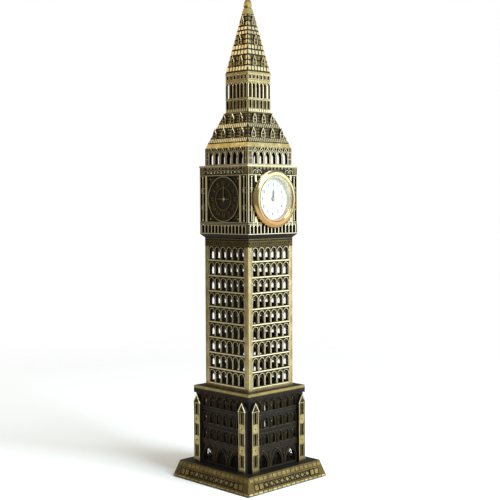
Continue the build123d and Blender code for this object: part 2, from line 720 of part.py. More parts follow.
def make_grip_ring():
    """Ribbed plastic ring that holds the insert in its socket by friction."""
    with BuildPart() as ring:
        with BuildSketch(insert_plane(RING_SPAN[0])):
            Circle(RING_RADIUS - RIB_HEIGHT)
            Circle(CASE_RADIUS, mode=Mode.SUBTRACT)
        extrude(amount=RING_SPAN[1] - RING_SPAN[0])
        for p in RING_RIBS:
            with BuildSketch(insert_plane(p)):
                Circle(RING_RADIUS)
                Circle(CASE_RADIUS, mode=Mode.SUBTRACT)
            extrude(amount=RIB_WIDTH)
    return ring.part


def make_movement():
    """Movement block: its plate carries the train, and it is pocketed for the cell, coil and stem."""
    low, high = MOVEMENT_SPAN
    radius = CASE_BORE - 2 * PLAY
    with BuildPart() as movement:
        with BuildSketch(insert_plane(low)):
            Circle(radius)
        extrude(amount=high - low)
        with BuildSketch(insert_plane(low)):
            with Locations(CELL_SPOT):
                Circle(CELL_RADIUS + 2 * PLAY)
            with Locations(COIL_SPOT):
                Rectangle(COIL_SIZE[0] + 4 * PLAY, COIL_SIZE[1] + 4 * PLAY)
        extrude(amount=POCKET_DEPTH, mode=Mode.SUBTRACT)
        with BuildSketch(insert_plane(low)):
            with Locations((STEM_POCKET[0], 0)):
                Rectangle(STEM_POCKET[1], LEVER_TALL + 8 * PLAY)
        extrude(amount=POCKET_DEPTH / 2, mode=Mode.SUBTRACT)
        with BuildSketch(insert_plane(high - ARBOR_HOLE)):
            with Locations((0, 0), MINUTE_SPOT):
                Circle(ARBOR_RADIUS + PLAY)
        extrude(amount=ARBOR_HOLE, mode=Mode.SUBTRACT)
        with BuildSketch(insert_plane(high)):
            Circle(radius)
            Circle(radius - SEAT_WIDTH, mode=Mode.SUBTRACT)
        extrude(amount=DIAL_SPAN[0] - high)
    return movement.part


def make_cell():
    """Silver-oxide button cell."""
    with BuildPart() as cell:
        with BuildSketch(insert_plane(CELL_SPAN[0])):
            with Locations(CELL_SPOT):
                Circle(CELL_RADIUS)
        extrude(amount=CELL_SPAN[1] - CELL_SPAN[0])
        fillet(cell.edges().filter_by(GeomType.CIRCLE), CELL_ROUND)
    return cell.part


def make_coil():
    """Wound coil of the stepping motor."""
    with BuildPart() as coil:
        with BuildSketch(insert_plane(CELL_SPAN[0])):
            with Locations(COIL_SPOT):
                Rectangle(*COIL_SIZE)
        extrude(amount=CELL_SPAN[1] - CELL_SPAN[0])
    return coil.part


def gear_outline(teeth, spot, phase=0.0):
    """Adds a gear's outline: trapezoid teeth standing on the root circle, a little thin for backlash."""
    pitch_radius = MODULE * teeth / 2
    radii = (pitch_radius - ROOT_DEPTH * MODULE, pitch_radius, pitch_radius + TIP_HEIGHT * MODULE)
    quarter = math.pi / (2 * teeth)  # half a tooth's angle at the pitch circle
    slack = (0.0, BACKLASH / pitch_radius, 0.0)
    flank = [(radius, quarter * part - gap) for radius, part, gap in zip(radii, FLANK, slack)]
    tooth = [(radius, -angle) for radius, angle in flank] + flank[::-1]
    outline = []
    for i in range(teeth):
        middle = 2 * math.pi * (i + phase) / teeth
        for radius, angle in tooth:
            outline.append((radius * math.cos(middle + angle), radius * math.sin(middle + angle)))
    with Locations(spot):
        Polygon(*outline, align=None)


def make_cannon_pinion():
    """Cannon pinion: its teeth, the pipe that carries the minute hand, and its arbor."""
    with BuildPart() as cannon:
        with BuildSketch(insert_plane(GEAR_LOW[0])):
            gear_outline(CANNON_TEETH, (0, 0))
        extrude(amount=GEAR_LOW[1] - GEAR_LOW[0])
        with BuildSketch(insert_plane(GEAR_LOW[1])):
            Circle(CANNON_PIPE[0])
        extrude(amount=HAND_MINUTE[0] - GEAR_LOW[1])
        with BuildSketch(insert_plane(HAND_MINUTE[0])):
            Circle(CANNON_PIPE[1])
        extrude(amount=HAND_MINUTE[1] - HAND_MINUTE[0])
        with BuildSketch(insert_plane(GEAR_LOW[0])):
            Circle(ARBOR_RADIUS)
        extrude(amount=-ARBOR_LENGTH)
    return cannon.part


def make_hour_wheel():
    """Hour wheel, whose pipe turns on the cannon pinion and carries the hour hand."""
    with BuildPart() as wheel:
        with BuildSketch(insert_plane(GEAR_HIGH[0])):
            gear_outline(HOUR_TEETH, (0, 0))
        extrude(amount=GEAR_HIGH[1] - GEAR_HIGH[0])
        with BuildSketch(insert_plane(GEAR_HIGH[1])):
            Circle(HOUR_PIPE[0])
        extrude(amount=HAND_HOUR[0] - GEAR_HIGH[1])
        with BuildSketch(insert_plane(HAND_HOUR[0])):
            Circle(HOUR_PIPE[1])
        extrude(amount=HAND_HOUR[1] - HAND_HOUR[0])
        with BuildSketch(insert_plane(GEAR_HIGH[0])):
            Circle(CANNON_PIPE[0] + PLAY)
        extrude(amount=HAND_HOUR[1] - GEAR_HIGH[0], mode=Mode.SUBTRACT)
    return wheel.part


def make_minute_wheel():
    """Minute wheel and its pinion, which take the cannon pinion's turn down to the hour wheel."""
    with BuildPart() as wheel:
        with BuildSketch(insert_plane(GEAR_LOW[0])):
            gear_outline(MINUTE_TEETH, MINUTE_SPOT, phase=0.5)
        extrude(amount=GEAR_LOW[1] - GEAR_LOW[0])
        with BuildSketch(insert_plane(GEAR_LOW[1])):
            gear_outline(PINION_TEETH, MINUTE_SPOT, phase=0.5)
        extrude(amount=GEAR_HIGH[1] - GEAR_LOW[1])
        with BuildSketch(insert_plane(GEAR_LOW[0])):
            with Locations(MINUTE_SPOT):
                Circle(ARBOR_RADIUS)
        extrude(amount=-ARBOR_LENGTH)
    return wheel.part


def make_hand(length, tail, shaft_width, pipe, span):
    """A leaf hand, pointing at twelve."""
    with BuildPart() as hand:
        with BuildSketch(insert_plane(span[0])):
            Polygon(
                (-shaft_width / 2, -tail),
                (shaft_width / 2, -tail),
                (shaft_width * LEAF[1], length * LEAF[0]),
                (0, length),
                (-shaft_width * LEAF[1], length * LEAF[0]),
                align=None,
            )
            Circle(pipe + HUB_RIM)
            Circle(pipe, mode=Mode.SUBTRACT)
        extrude(amount=span[1] - span[0])
    return hand.part


def stem_plane(x):
    """Plane across the setting stem, looking out along it."""
    return Plane((x, from_wall(CROWN_P), CLOCK_CENTRE), x_dir=(0, 1, 0), z_dir=(1, 0, 0))


def make_crown():
    """Knurled setting crown and its stem, at three o'clock, with a groove for the setting lever."""
    with BuildPart() as crown:
        with BuildSketch(stem_plane(CROWN_SPAN[0])):
            Circle(CROWN_RADIUS)
            with PolarLocations(CROWN_RADIUS, CROWN_KNURLS):
                Circle(KNURL_RADIUS, mode=Mode.SUBTRACT)
        extrude(amount=CROWN_SPAN[1] - CROWN_SPAN[0])
        with BuildSketch(stem_plane(CROWN_SPAN[0])):
            Circle(STEM_RADIUS)
        extrude(amount=-STEM_LENGTH)
        with BuildSketch(stem_plane(LEVER_X - PLAY)):
            Circle(STEM_RADIUS)
            Circle(GROOVE_RADIUS, mode=Mode.SUBTRACT)
        extrude(amount=LEVER_THICK + 2 * PLAY, mode=Mode.SUBTRACT)
    return crown.part


def make_setting_lever():
    """Forked lever whose prongs sit in the stem's groove and travel with it."""
    with BuildPart() as lever:
        with BuildSketch(stem_plane(LEVER_X)):
            Rectangle(2 * (STEM_RADIUS + PLAY), LEVER_TALL)
            Circle(GROOVE_RADIUS + PLAY, mode=Mode.SUBTRACT)
            with Locations((STEM_RADIUS, 0)):
                Rectangle(2 * STEM_RADIUS, 2 * (GROOVE_RADIUS + PLAY), mode=Mode.SUBTRACT)
        extrude(amount=LEVER_THICK)
    return lever.part


# ---------------------------------------------------------------- build and write
save(make_plinth(), "plinth")
save(make_base_plate(), "base_plate")
save(make_base_pad(), "base_pad")
save(make_screws(), "base_screws")
save_turned(make_lower_wall(), "lower_wall")
save(make_lower_cornice(), "lower_cornice")
save_turned(make_shaft_wall(), "shaft_wall")
save(make_clock_corbel(), "clock_corbel")
save(make_clock_wall_front(), "clock_wall_front")
for turn in (1, 2, 3):
    save(make_clock_wall().rotate(Axis.Z, 90 * turn), f"clock_wall_{SIDES[turn]}")
save(make_clock_ledge(), "clock_ledge")
save_turned(make_belfry_wall(), "belfry_wall")
save(make_eave(), "eave")
save_turned(make_roof_slope(), "roof_slope")
save_turned(make_lantern_wall(), "lantern_wall")
save(make_lantern_cornice(), "lantern_cornice")
save(make_spire(), "spire")
save(make_finial(), "finial")
save(make_bezel(), "insert_bezel")
save(make_lens(), "insert_lens")
save(make_dial(), "insert_dial")
save(make_case(), "insert_case")
save(make_case_lid(), "insert_case_lid")
save(make_grip_ring(), "insert_grip_ring")
save(make_movement(), "movement")
save(make_cell(), "button_cell")
save(make_coil(), "motor_coil")
save(make_cannon_pinion(), "cannon_pinion")
save(make_hour_wheel(), "hour_wheel")
save(make_minute_wheel(), "minute_wheel")
save(make_hand(*HOUR_HAND, HOUR_PIPE[1], HAND_HOUR), "hour_hand")
save(make_hand(*MINUTE_HAND, CANNON_PIPE[1], HAND_MINUTE), "minute_hand")
save(make_crown(), "setting_crown")
save(make_setting_lever(), "setting_lever")
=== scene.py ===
"""Looks for the clock-tower souvenir: antique brass castings with fine relief, and a polished quartz insert.

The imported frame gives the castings. This script adds their relief as surfaces worked out with numpy, gives
every surface its finish, and sets the floor, the lights and the camera. Wall coordinates are (u, z, out): u
runs along a wall to its right, z is the height above the table, and out is the distance in front of that
wall's plane. Sizes are in millimetres until a mesh is made."""

import math

import bpy
import numpy as np
from mathutils import Euler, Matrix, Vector


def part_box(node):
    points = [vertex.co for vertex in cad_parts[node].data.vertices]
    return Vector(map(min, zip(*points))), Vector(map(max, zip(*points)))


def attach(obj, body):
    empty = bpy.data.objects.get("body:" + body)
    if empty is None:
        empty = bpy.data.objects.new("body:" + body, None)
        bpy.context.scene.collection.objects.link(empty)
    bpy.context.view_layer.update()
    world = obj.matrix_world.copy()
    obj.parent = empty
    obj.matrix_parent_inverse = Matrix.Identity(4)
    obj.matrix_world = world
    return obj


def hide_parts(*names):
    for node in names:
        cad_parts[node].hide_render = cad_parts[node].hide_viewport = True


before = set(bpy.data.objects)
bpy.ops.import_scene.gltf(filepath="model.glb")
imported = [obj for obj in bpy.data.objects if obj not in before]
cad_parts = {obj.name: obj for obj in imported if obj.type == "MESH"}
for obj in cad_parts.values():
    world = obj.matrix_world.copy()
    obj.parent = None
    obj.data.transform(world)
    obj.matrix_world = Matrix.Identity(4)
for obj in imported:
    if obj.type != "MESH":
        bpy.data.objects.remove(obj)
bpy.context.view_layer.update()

MM = 0.001
SIDES = ("front", "right", "back", "left")  # each is the front turned a quarter turn about Z
SUNK = 0.12  # how far the back of a relief lies inside its wall
HAIR = 0.01  # enough to keep two surfaces apart


def box_mm(node):
    """Lowest and highest corner of a casting, in millimetres."""
    low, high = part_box(node)
    return np.array(low) / MM, np.array(high) / MM


def levels(node):
    """Heights of a casting's bottom and top, in millimetres."""
    low, high = box_mm(node)
    return low[2], high[2]


def half_width(node):
    """How far a casting reaches from the tower's axis along X, in millimetres."""
    return box_mm(node)[1][0]


# ---- levels and half widths, from the frame
LOWER_LOW, LOWER_HIGH = box_mm("lower_wall_front")
BEZEL_LOW, BEZEL_HIGH = box_mm("insert_bezel")

PLINTH_FOOT = half_width("plinth")
PLINTH_HEAD = 23.6
LOWER_PLANE = LOWER_HIGH[0] - 0.75
BUTTRESS_PLANE = -LOWER_LOW[1]
SHAFT_PLANE = half_width("shaft_wall_front")
CLOCK_PLANE = half_width("clock_wall_back")
BELFRY_PLANE = half_width("belfry_wall_front")
LANTERN_PLANE = half_width("lantern_wall_front")
ROOF_FOOT = half_width("roof_slope_front")
ROOF_HEAD = 7.85
SPIRE_FOOT = half_width("spire")
SPIRE_HEAD = 2.0
FINIAL_TIP = 0.5
CLOCK_MIDDLE = (BEZEL_LOW[2] + BEZEL_HIGH[2]) / 2


def tapered(node, foot, head):
    """Half width of a sloping stage as a straight-line function of height."""
    low, high = levels(node)
    return lambda z: foot + (head - foot) * (z - low) / (high - low)


PLINTH_SLOPE = tapered("plinth", PLINTH_FOOT, PLINTH_HEAD)
ROOF_SLOPE = tapered("roof_slope_front", ROOF_FOOT, ROOF_HEAD)
SPIRE_SLOPE = tapered("spire", SPIRE_FOOT, SPIRE_HEAD)


def upright(half):
    """Half width of a vertical stage, the same at every height."""
    return lambda z: half + 0 * z


# ---- patches: closed shapes in wall coordinates
def skin(rings, worn, loop=False):
    """Joins rings of points one after another with four-sided faces. The two end rings are closed with a face
    each, or the last ring is joined to the first if loop. Returns points, worn, corners and face sizes."""
    count, size = rings.shape[:2]
    here = np.arange(count * size).reshape(count, size)
    ahead = np.roll(here, -1, axis=1)
    stop = count if loop else count - 1
    after = np.roll(here, -1, axis=0)
    after_ahead = np.roll(ahead, -1, axis=0)
    corners = np.stack([here, ahead, after_ahead, after], axis=-1)[:stop].ravel()
    sizes = np.full(stop * size, 4)
    if not loop:
        corners = np.concatenate([corners, here[0][::-1], here[-1]])
        sizes = np.concatenate([sizes, [size, size]])
    return rings.reshape(-1, 3), worn.reshape(-1), corners, sizes


def moulding(width, out, crown=0.5):
    """Section of a cast moulding as (across, out, worn) points: upright flanks, a slope and a flat crown."""
    half = width / 2
    return np.array(
        [
            (-half, -SUNK, 0.0),
            (half, -SUNK, 0.0),
            (half, 0.35 * out, 0.35),
            (half * crown, out, 1.0),
            (-half * crown, out, 1.0),
            (-half, 0.35 * out, 0.35),
        ]
    )


def bar(path, section, loop=False):
    """Carries a section along a flat path of (u, z) points. Across is measured square to the path, and is
    stretched by one over the cosine of half the turn at each corner, so the bar keeps its width."""
    path = np.asarray(path, float)
    if loop:
        before = path - np.roll(path, 1, axis=0)
        after = np.roll(path, -1, axis=0) - path
    else:
        step = np.diff(path, axis=0)
        before = np.vstack([step[:1], step])
        after = np.vstack([step, step[-1:]])
    before /= np.linalg.norm(before, axis=1, keepdims=True)
    after /= np.linalg.norm(after, axis=1, keepdims=True)
    mean = before + after
    mean /= np.linalg.norm(mean, axis=1, keepdims=True)
    stretch = 1 / np.clip((mean * before).sum(1), 0.45, 1.0)
    left = np.stack([-mean[:, 1], mean[:, 0]], axis=1) * stretch[:, None]
    rings = np.empty((len(path), len(section), 3))
    rings[:, :, :2] = path[:, None] + left[:, None] * section[None, :, :1]
    rings[:, :, 2] = section[:, 1]
    worn = np.broadcast_to(section[:, 2], rings.shape[:2])
    return skin(rings, worn, loop)


def prism(outline, out, bevel=0.12, sunk=SUNK, edge=0.45, crown=1.0):
    """Stands an outline of (u, z) points, listed anticlockwise, out of the wall. Its front edge is chamfered
    by shrinking the outline about its middle. Worn runs from none at the back through edge to crown."""
    outline = np.asarray(outline, float)
    middle = (outline.min(0) + outline.max(0)) / 2
    span = (outline.max(0) - outline.min(0)) / 2
    shrunk = middle + (outline - middle) * (1 - bevel / np.maximum(span, 2 * bevel))
    rings = np.empty((3, len(outline), 3))
    rings[:2, :, :2] = outline
    rings[2, :, :2] = shrunk
    rings[:, :, 2] = np.array([-sunk, out - bevel, out])[:, None]
    worn = np.broadcast_to(np.array([0.0, edge, crown])[:, None], rings.shape[:2])
    return skin(rings, worn)


def slab(width, height, out, bevel=0.12, **finish):
    """A chamfered block centred on the origin."""
    a, b = width / 2, height / 2
    return prism([(-a, -b), (a, -b), (a, b), (-a, b)], out, bevel, **finish)


def lozenge(width, height, out, bevel=0.12, **finish):
    """A chamfered diamond centred on the origin."""
    return prism([(0, -height / 2), (width / 2, 0), (0, height / 2), (-width / 2, 0)], out, bevel, **finish)


def stud(radius, out, sides=8):
    """A low dome: circles whose radius falls as the square root of the height left."""
    turn = np.linspace(0, 2 * np.pi, sides, endpoint=False)
    heights = np.array([-SUNK, 0.0, 0.55 * out, 0.9 * out, out])
    radii = radius * np.array([1.0, 1.0, 0.83, 0.5, 0.2])
    rings = np.empty((len(heights), sides, 3))
    rings[:, :, 0] = radii[:, None] * np.cos(turn)
    rings[:, :, 1] = radii[:, None] * np.sin(turn)
    rings[:, :, 2] = heights[:, None]
    worn = np.broadcast_to(np.array([0.0, 0.3, 0.8, 1.0, 1.0])[:, None], rings.shape[:2])
    return skin(rings, worn)


def arc(radius, start, end, count, centre=(0.0, 0.0)):
    """Points of a circle's arc between two angles in degrees."""
    turn = np.radians(np.linspace(start, end, count))
    return np.stack([centre[0] + radius * np.cos(turn), centre[1] + radius * np.sin(turn)], axis=1)


def ring(radius, width, out, count=24, crown=0.5, centre=(0.0, 0.0)):
    """A round moulding, closed on itself."""
    path = arc(radius, 0, 360, count + 1, centre)[:-1]
    return bar(path, moulding(width, out, crown), loop=True)


def round_arch(width, height, count=9):
    """Path up one jamb, round a half circle and down the other jamb, from the sill at the origin."""
    radius = width / 2
    rise = height - radius
    head = arc(radius, 180, 0, count, (0.0, rise))
    return np.vstack([[(-radius, 0)], head, [(radius, 0)]])


def pointed_arch(width, height, count=5):
    """Path round a pointed opening, each half of its head an arc struck from the other springing point."""
    rise = height - width * math.sqrt(3) / 2
    left = arc(width, 180, 120, count, (width / 2, rise))
    right = arc(width, 60, 0, count, (-width / 2, rise))
    return np.vstack([[(-width / 2, 0)], left, right[1:], [(width / 2, 0)]])


def ogee(width, height, count=5):
    """Path of an ogee hood: each side swells as a quarter sine and then sweeps up to the point."""
    t = np.linspace(0, 1, count)
    side = np.stack([-width / 2 * np.cos(t * np.pi / 2) ** 1.4, height * t], axis=1)
    return np.vstack([side, (side * (-1, 1))[::-1][1:]])


def level(low, high, z):
    """A straight horizontal path."""
    return [(low, z), (high, z)]


def post(u, low, high):
    """A straight vertical path."""
    return [(u, low), (u, high)]


def spread(count, pitch):
    """Evenly pitched places, centred on zero."""
    return (np.arange(count) - (count - 1) / 2) * pitch


def places(us, zs=0.0):
    """Every pair of a place along the wall and a height."""
    u, z = np.meshgrid(np.atleast_1d(us).astype(float), np.atleast_1d(zs).astype(float))
    return np.stack([u.ravel(), z.ravel()], axis=1)


def row(count, pitch, zs=0.0):
    """Evenly pitched places at each height."""
    return places(spread(count, pitch), zs)


class Relief:
    """Collects patches for one wall. Each patch is copied to its places, and its out is then counted from the
    wall's plane, given as half width by height. Clear is the radius that is left free round the clock's
    middle, for the insert's bezel."""

    def __init__(self, plane, clear=0.0):
        self.plane = plane
        self.clear = clear
        self.points, self.worn, self.corners, self.sizes = [], [], [], []
        self.count = 0

    def add(self, patch, at=((0.0, 0.0),), lift=0.0, tone=1.0, front=None):
        """Copies a patch to its places, but not where it would enter the clear circle. With front, the patch
        stands upright at that half width instead of following the wall's slope. Tone scales its wear."""
        points, worn, corners, sizes = patch
        at = np.asarray(at, float).reshape(-1, 2)
        moved = np.repeat(points[None], len(at), axis=0)
        moved[:, :, :2] += at[:, None]
        away = np.hypot(moved[:, :, 0], moved[:, :, 1] - CLOCK_MIDDLE).min(axis=1)
        moved = moved[away >= self.clear]
        if len(moved) == 0:
            return
        plane = self.plane(moved[:, :, 1]) if front is None else front
        moved[:, :, 2] += plane + lift
        self.points.append(moved.reshape(-1, 3))
        self.worn.append(np.tile(worn * tone, len(moved)))
        starts = self.count + len(points) * np.arange(len(moved))
        self.corners.append((starts[:, None] + corners).ravel())
        self.sizes.append(np.tile(sizes, len(moved)))
        self.count += len(moved) * len(points)

    def both(self, patch, u, zs, **how):
        """Copies a patch to plus and minus u."""
        self.add(patch, places([-u, u], zs), **how)

    def line(self, path, width, out, at=((0.0, 0.0),), crown=0.5, **how):
        """Carries a moulding along a path, at its places."""
        self.add(bar(path, moulding(width, out, crown)), at, **how)

    def course(self, reach, z, width, out, **how):
        """A level moulding that reaches as far to each side of the wall's middle."""
        self.line(level(-reach, reach, z), width, out, **how)

    def lines(self, path, width, out, u, **how):
        """Carries a moulding along a path, at plus and minus u."""
        self.both(bar(path, moulding(width, out)), u, 0.0, **how)

    def strip(self, path, section):
        """Adds a level or upright bar, broken where it would enter the clear circle: half the gap is the root
        of clear squared less the square of the distance from the circle's middle to the bar's near edge."""
        (u_start, z_start), (u_end, z_end) = path
        flat = z_start == z_end
        middle_line = z_start - CLOCK_MIDDLE if flat else u_start
        inner_edge = max(abs(middle_line) - section[:, 0].max(), 0.0)
        if inner_edge >= self.clear:
            self.add(bar(path, section))
            return
        reach = math.sqrt(self.clear**2 - inner_edge**2) + HAIR
        if flat:
            runs = [level(u_start, -reach, z_start), level(reach, u_end, z_start)]
        else:
            runs = [post(u_start, z_start, CLOCK_MIDDLE - reach), post(u_start, CLOCK_MIDDLE + reach, z_end)]
        for (u_low, z_low), (u_high, z_high) in runs:
            if u_high + z_high > u_low + z_low:
                self.add(bar([(u_low, z_low), (u_high, z_high)], section))

    def cast(self, name, turn, finish, body="root", slot="antique_brass"):
        """Makes the mesh on one side of the tower: u becomes x, reach becomes minus y, then a quarter turn
        about Z for each side after the front."""
        points = np.vstack(self.points)
        spin = np.radians(90 * turn)
        x, y = points[:, 0], -points[:, 2]
        place = np.stack(
            [x * np.cos(spin) - y * np.sin(spin), x * np.sin(spin) + y * np.cos(spin), points[:, 1]], axis=1
        )
        corners, sizes = np.concatenate(self.corners), np.concatenate(self.sizes)
        return make_piece(name, place, corners, sizes, finish, body, worn=np.concatenate(self.worn))


def fill_mesh(mesh, points, corners, sizes):
    """Fills a mesh from points, every face's corners end to end, and how many corners each face has."""
    mesh.vertices.add(len(points))
    mesh.vertices.foreach_set("co", np.asarray(points, np.float32).ravel())
    mesh.loops.add(len(corners))
    mesh.loops.foreach_set("vertex_index", corners.astype(np.int32))
    mesh.polygons.add(len(sizes))
    mesh.polygons.foreach_set("loop_start", (np.cumsum(sizes) - sizes).astype(np.int32))
    mesh.update(calc_edges=True)


def make_piece(name, points, corners, sizes, finish, body, worn=None, smooth=False):
    """Puts points in millimetres and their faces into a mesh, and fastens the piece to its body."""
    mesh = bpy.data.meshes.new(name)
    fill_mesh(mesh, points * MM, corners, sizes)
    if worn is not None:
        mesh.attributes.new("worn", "FLOAT", "POINT").data.foreach_set("value", worn.astype(np.float32))
    mesh.polygons.foreach_set("use_smooth", np.full(len(sizes), smooth))
    mesh.materials.append(finish)
    mesh.validate()
    piece = bpy.data.objects.new(name, mesh)
    bpy.context.scene.collection.objects.link(piece)
    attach(piece, body)
    return piece


# ---- finishes
class Wire:
    """A socket of a node tree. Arithmetic on it adds Math nodes."""

    def __init__(self, finish, socket):
        self.finish = finish
        self.socket = socket

    def math(self, operation, *others):
        """A Math node on this value and the others."""
        inputs = dict(enumerate((self,) + others))
        return self.finish.node("ShaderNodeMath", {"operation": operation}, inputs)

    def __add__(self, other):
        return self.math("ADD", other)

    def __sub__(self, other):
        return self.math("SUBTRACT", other)

    def __rsub__(self, other):
        return self.finish.node("ShaderNodeMath", {"operation": "SUBTRACT"}, {0: other, 1: self})

    def __mul__(self, other):
        return self.math("MULTIPLY", other)

    __radd__ = __add__
    __rmul__ = __mul__

    def fade(self, low, high, start=0.0, end=1.0):
        """Smooth step from start at low to end at high."""
        settings = {"interpolation_type": "SMOOTHSTEP"}
        inputs = {"Value": self, "From Min": low, "From Max": high, "To Min": start, "To Max": end}
        return self.finish.node("ShaderNodeMapRange", settings, inputs)


class Finish:
    """A material with one principled shader. Constants are set on the shader's own sockets."""

    def __init__(self, name, **constants):
        self.material = bpy.data.materials.new(name)
        self.material.use_nodes = True
        self.tree = self.material.node_tree
        self.shader = self.tree.nodes["Principled BSDF"]
        for socket, value in constants.items():
            self.shader.inputs[socket.replace("_", " ")].default_value = value

    def node(self, kind, settings=None, inputs=None, output=0):
        """Adds a node: its settings first, then the values or links of its sockets."""
        node = self.tree.nodes.new(kind)
        for name, value in (settings or {}).items():
            if name == "stops":
                self.set_stops(node.color_ramp, value)
            else:
                setattr(node, name, value)
        for name, value in (inputs or {}).items():
            if isinstance(value, Wire):
                self.tree.links.new(value.socket, node.inputs[name])
            else:
                node.inputs[name].default_value = value
        return Wire(self, node.outputs[output])

    @staticmethod
    def set_stops(ramp, stops):
        """Sets a colour ramp's stops, each a position and a colour."""
        while len(ramp.elements) < len(stops):
            ramp.elements.new(0.5)
        for element, (position, colour) in zip(ramp.elements, stops):
            element.position = position
            element.color = (*colour, 1.0)

    def place(self):
        """Object coordinates, which are the tower's own."""
        return self.node("ShaderNodeTexCoord", output=3)

    def noise(self, scale, detail=4.0, roughness=0.6, stretch=None):
        """Noise over object coordinates, optionally stretched by a factor along each axis."""
        place = self.place()
        if stretch:
            place = self.node("ShaderNodeMapping", {}, {"Vector": place, "Scale": stretch})
        inputs = {"Vector": place, "Scale": scale, "Detail": detail, "Roughness": roughness}
        return self.node("ShaderNodeTexNoise", {}, inputs)

    def feed(self, socket, wire):
        """Links a wire into the shader."""
        self.tree.links.new(wire.socket, self.shader.inputs[socket])

    def bump(self, height, strength, distance):
        """Roughens the surface by a height, without moving it."""
        inputs = {"Height": height, "Strength": strength, "Distance": distance}
        self.feed("Normal", self.node("ShaderNodeBump", {}, inputs))


# darkest patina, brown, amber, gold, and metal rubbed pale
PATINA = (0.005, 0.004, 0.0035)
BROWN = (0.024, 0.017, 0.008)
AMBER = (0.125, 0.088, 0.029)
GOLD = (0.33, 0.255, 0.098)
PALE = (0.80, 0.72, 0.48)


def antique(finish, worn, gloss=0.30, spread_of_wear=0.30):
    """Antique plating: the more worn, the brighter and glossier. Two sizes of noise break up the wear, and
    the patina that is left in the recesses is matt and only partly metallic."""
    cloud = finish.noise(260.0)
    grit = finish.noise(1500.0, 3.0)
    level_of_wear = worn + (cloud - 0.5) * spread_of_wear + (grit - 0.5) * (0.7 * spread_of_wear)
    stops = ((0.0, PATINA), (0.30, BROWN), (0.52, AMBER), (0.76, GOLD), (1.0, PALE))
    colour = finish.node("ShaderNodeValToRGB", {"stops": stops}, {"Fac": level_of_wear})
    finish.feed("Base Color", colour)
    finish.feed("Metallic", level_of_wear.fade(0.05, 0.6, 0.35, 1.0))
    finish.feed("Roughness", level_of_wear.fade(0.1, 0.9, 0.62, gloss))
    finish.bump(grit, 0.25, 0.0001)
    return finish.material


def relief_brass(name, tone, **look):
    """Antique plating for relief, which carries how worn it is."""
    finish = Finish(name, Specular_IOR_Level=0.35)
    worn = finish.node("ShaderNodeAttribute", {"attribute_name": "worn"}, {}, 2)
    return antique(finish, worn * tone, **look)


def casting_brass(name, foot, head, heights, fade, tone, edge=0.0, dark=None):
    """Antique plating for a casting. It is worn where it reaches the stage's outer face and dark behind it:
    reach is the larger of the distances from the axis along X and Y, and the outer face runs from half width
    foot at the lower level to head at the upper one, or stays foot where head is None. Fade is the depth at
    which the wear is gone, edge adds wear at the corners, and above the level dark the wear is cut to about a
    third: painted shade under the overhang of the stage above."""
    finish = Finish(name, Specular_IOR_Level=0.35)
    split = finish.node("ShaderNodeSeparateXYZ", {}, {"Vector": finish.place()})
    axes = [Wire(finish, split.socket.node.outputs[i]) for i in range(3)]
    x, y = axes[0].math("ABSOLUTE"), axes[1].math("ABSOLUTE")
    head = foot if head is None else head
    lean = (head - foot) / (heights[1] - heights[0])
    face = axes[2] * lean + (foot - lean * heights[0]) * MM
    depth = face - x.math("MAXIMUM", y)
    worn = depth.fade(0.0, fade * MM, tone, 0.0)
    if edge:
        corner = face - x.math("MINIMUM", y)
        worn = worn + corner.fade(0.0, 1.2 * MM, edge, 0.0)
    # painted shade: above the level dark the wear, and so the colour, is darkened as if in the shade of the
    # stage above
    if dark:
        worn = worn * axes[2].fade((dark - 0.4) * MM, dark * MM, 1.0, 0.35)
    return antique(finish, worn)


def plain(name, colour, roughness, metallic, mottle=0.12, scale=400.0, **constants):
    """A plain finish whose shade and gloss wander a little."""
    finish = Finish(name, Metallic=metallic, **constants)
    cloud = finish.noise(scale)
    dark = tuple(c * (1 - mottle) for c in colour)
    shade = finish.node("ShaderNodeValToRGB", {"stops": ((0.3, dark), (0.7, colour))}, {"Fac": cloud})
    finish.feed("Base Color", shade)
    finish.feed("Roughness", cloud.fade(0.2, 0.8, roughness * 0.85, roughness * 1.15))
    return finish.material


# the bezel's gold, with a painted reflection: copper-brown at its foot, paling to pale gold at its head
BEZEL_GOLD_PAINTED_REFLECTION = (
    (0.0, (0.42, 0.235, 0.09)),
    (0.35, (0.50, 0.36, 0.15)),
    (0.6, (0.54, 0.45, 0.23)),
    (1.0, (0.62, 0.55, 0.33)),
)


def gilt():
    """Polished gold plate with a painted reflection: its colour changes from copper-brown at the bottom of
    the bezel to pale gold at the top.
    """
    finish = Finish("gold_plate_painted_reflection", Metallic=1.0)
    height = finish.node("ShaderNodeSeparateXYZ", {}, {"Vector": finish.place()}, 2)
    cloud = finish.noise(120.0)
    uneven = height + (cloud - 0.5) * (4 * MM)
    place_in_bezel = uneven.fade(BEZEL_LOW[2] * MM, BEZEL_HIGH[2] * MM)
    colour = finish.node("ShaderNodeValToRGB", {"stops": BEZEL_GOLD_PAINTED_REFLECTION}, {"Fac": place_in_bezel})
    finish.feed("Base Color", colour)
    finish.feed("Roughness", finish.noise(500.0).fade(0.2, 0.8, 0.10, 0.18))
    return finish.material


# ---- camera
CAMERA_PLACE = (-336.4, -346.9, 131.81)
CAMERA_TURN = 44.19  # degrees from +Y towards +X that it looks
CAMERA_DIP = 2.746  # degrees below the horizon
CAMERA_ROLL = -0.242
CAMERA_LENS = 73.34


def set_camera():
    """Sets the camera from its place, turn, dip and roll."""
    data = bpy.data.cameras.new("camera")
    data.lens = CAMERA_LENS
    data.sensor_width = 36.0
    data.clip_start = 0.01
    camera = bpy.data.objects.new("camera", data)
    bpy.context.scene.collection.objects.link(camera)
    camera.location = [value * MM for value in CAMERA_PLACE]
    tilt = turn_matrix(90 - CAMERA_DIP, 0, -CAMERA_TURN)
    roll = turn_matrix(0, 0, CAMERA_ROLL)
    camera.rotation_euler = (tilt @ roll).to_euler()
    bpy.context.scene.camera = camera


def turn_matrix(x, y, z):
    """Rotation matrix from angles in degrees about X, then Y, then Z."""
    return Euler([math.radians(angle) for angle in (x, y, z)]).to_matrix()


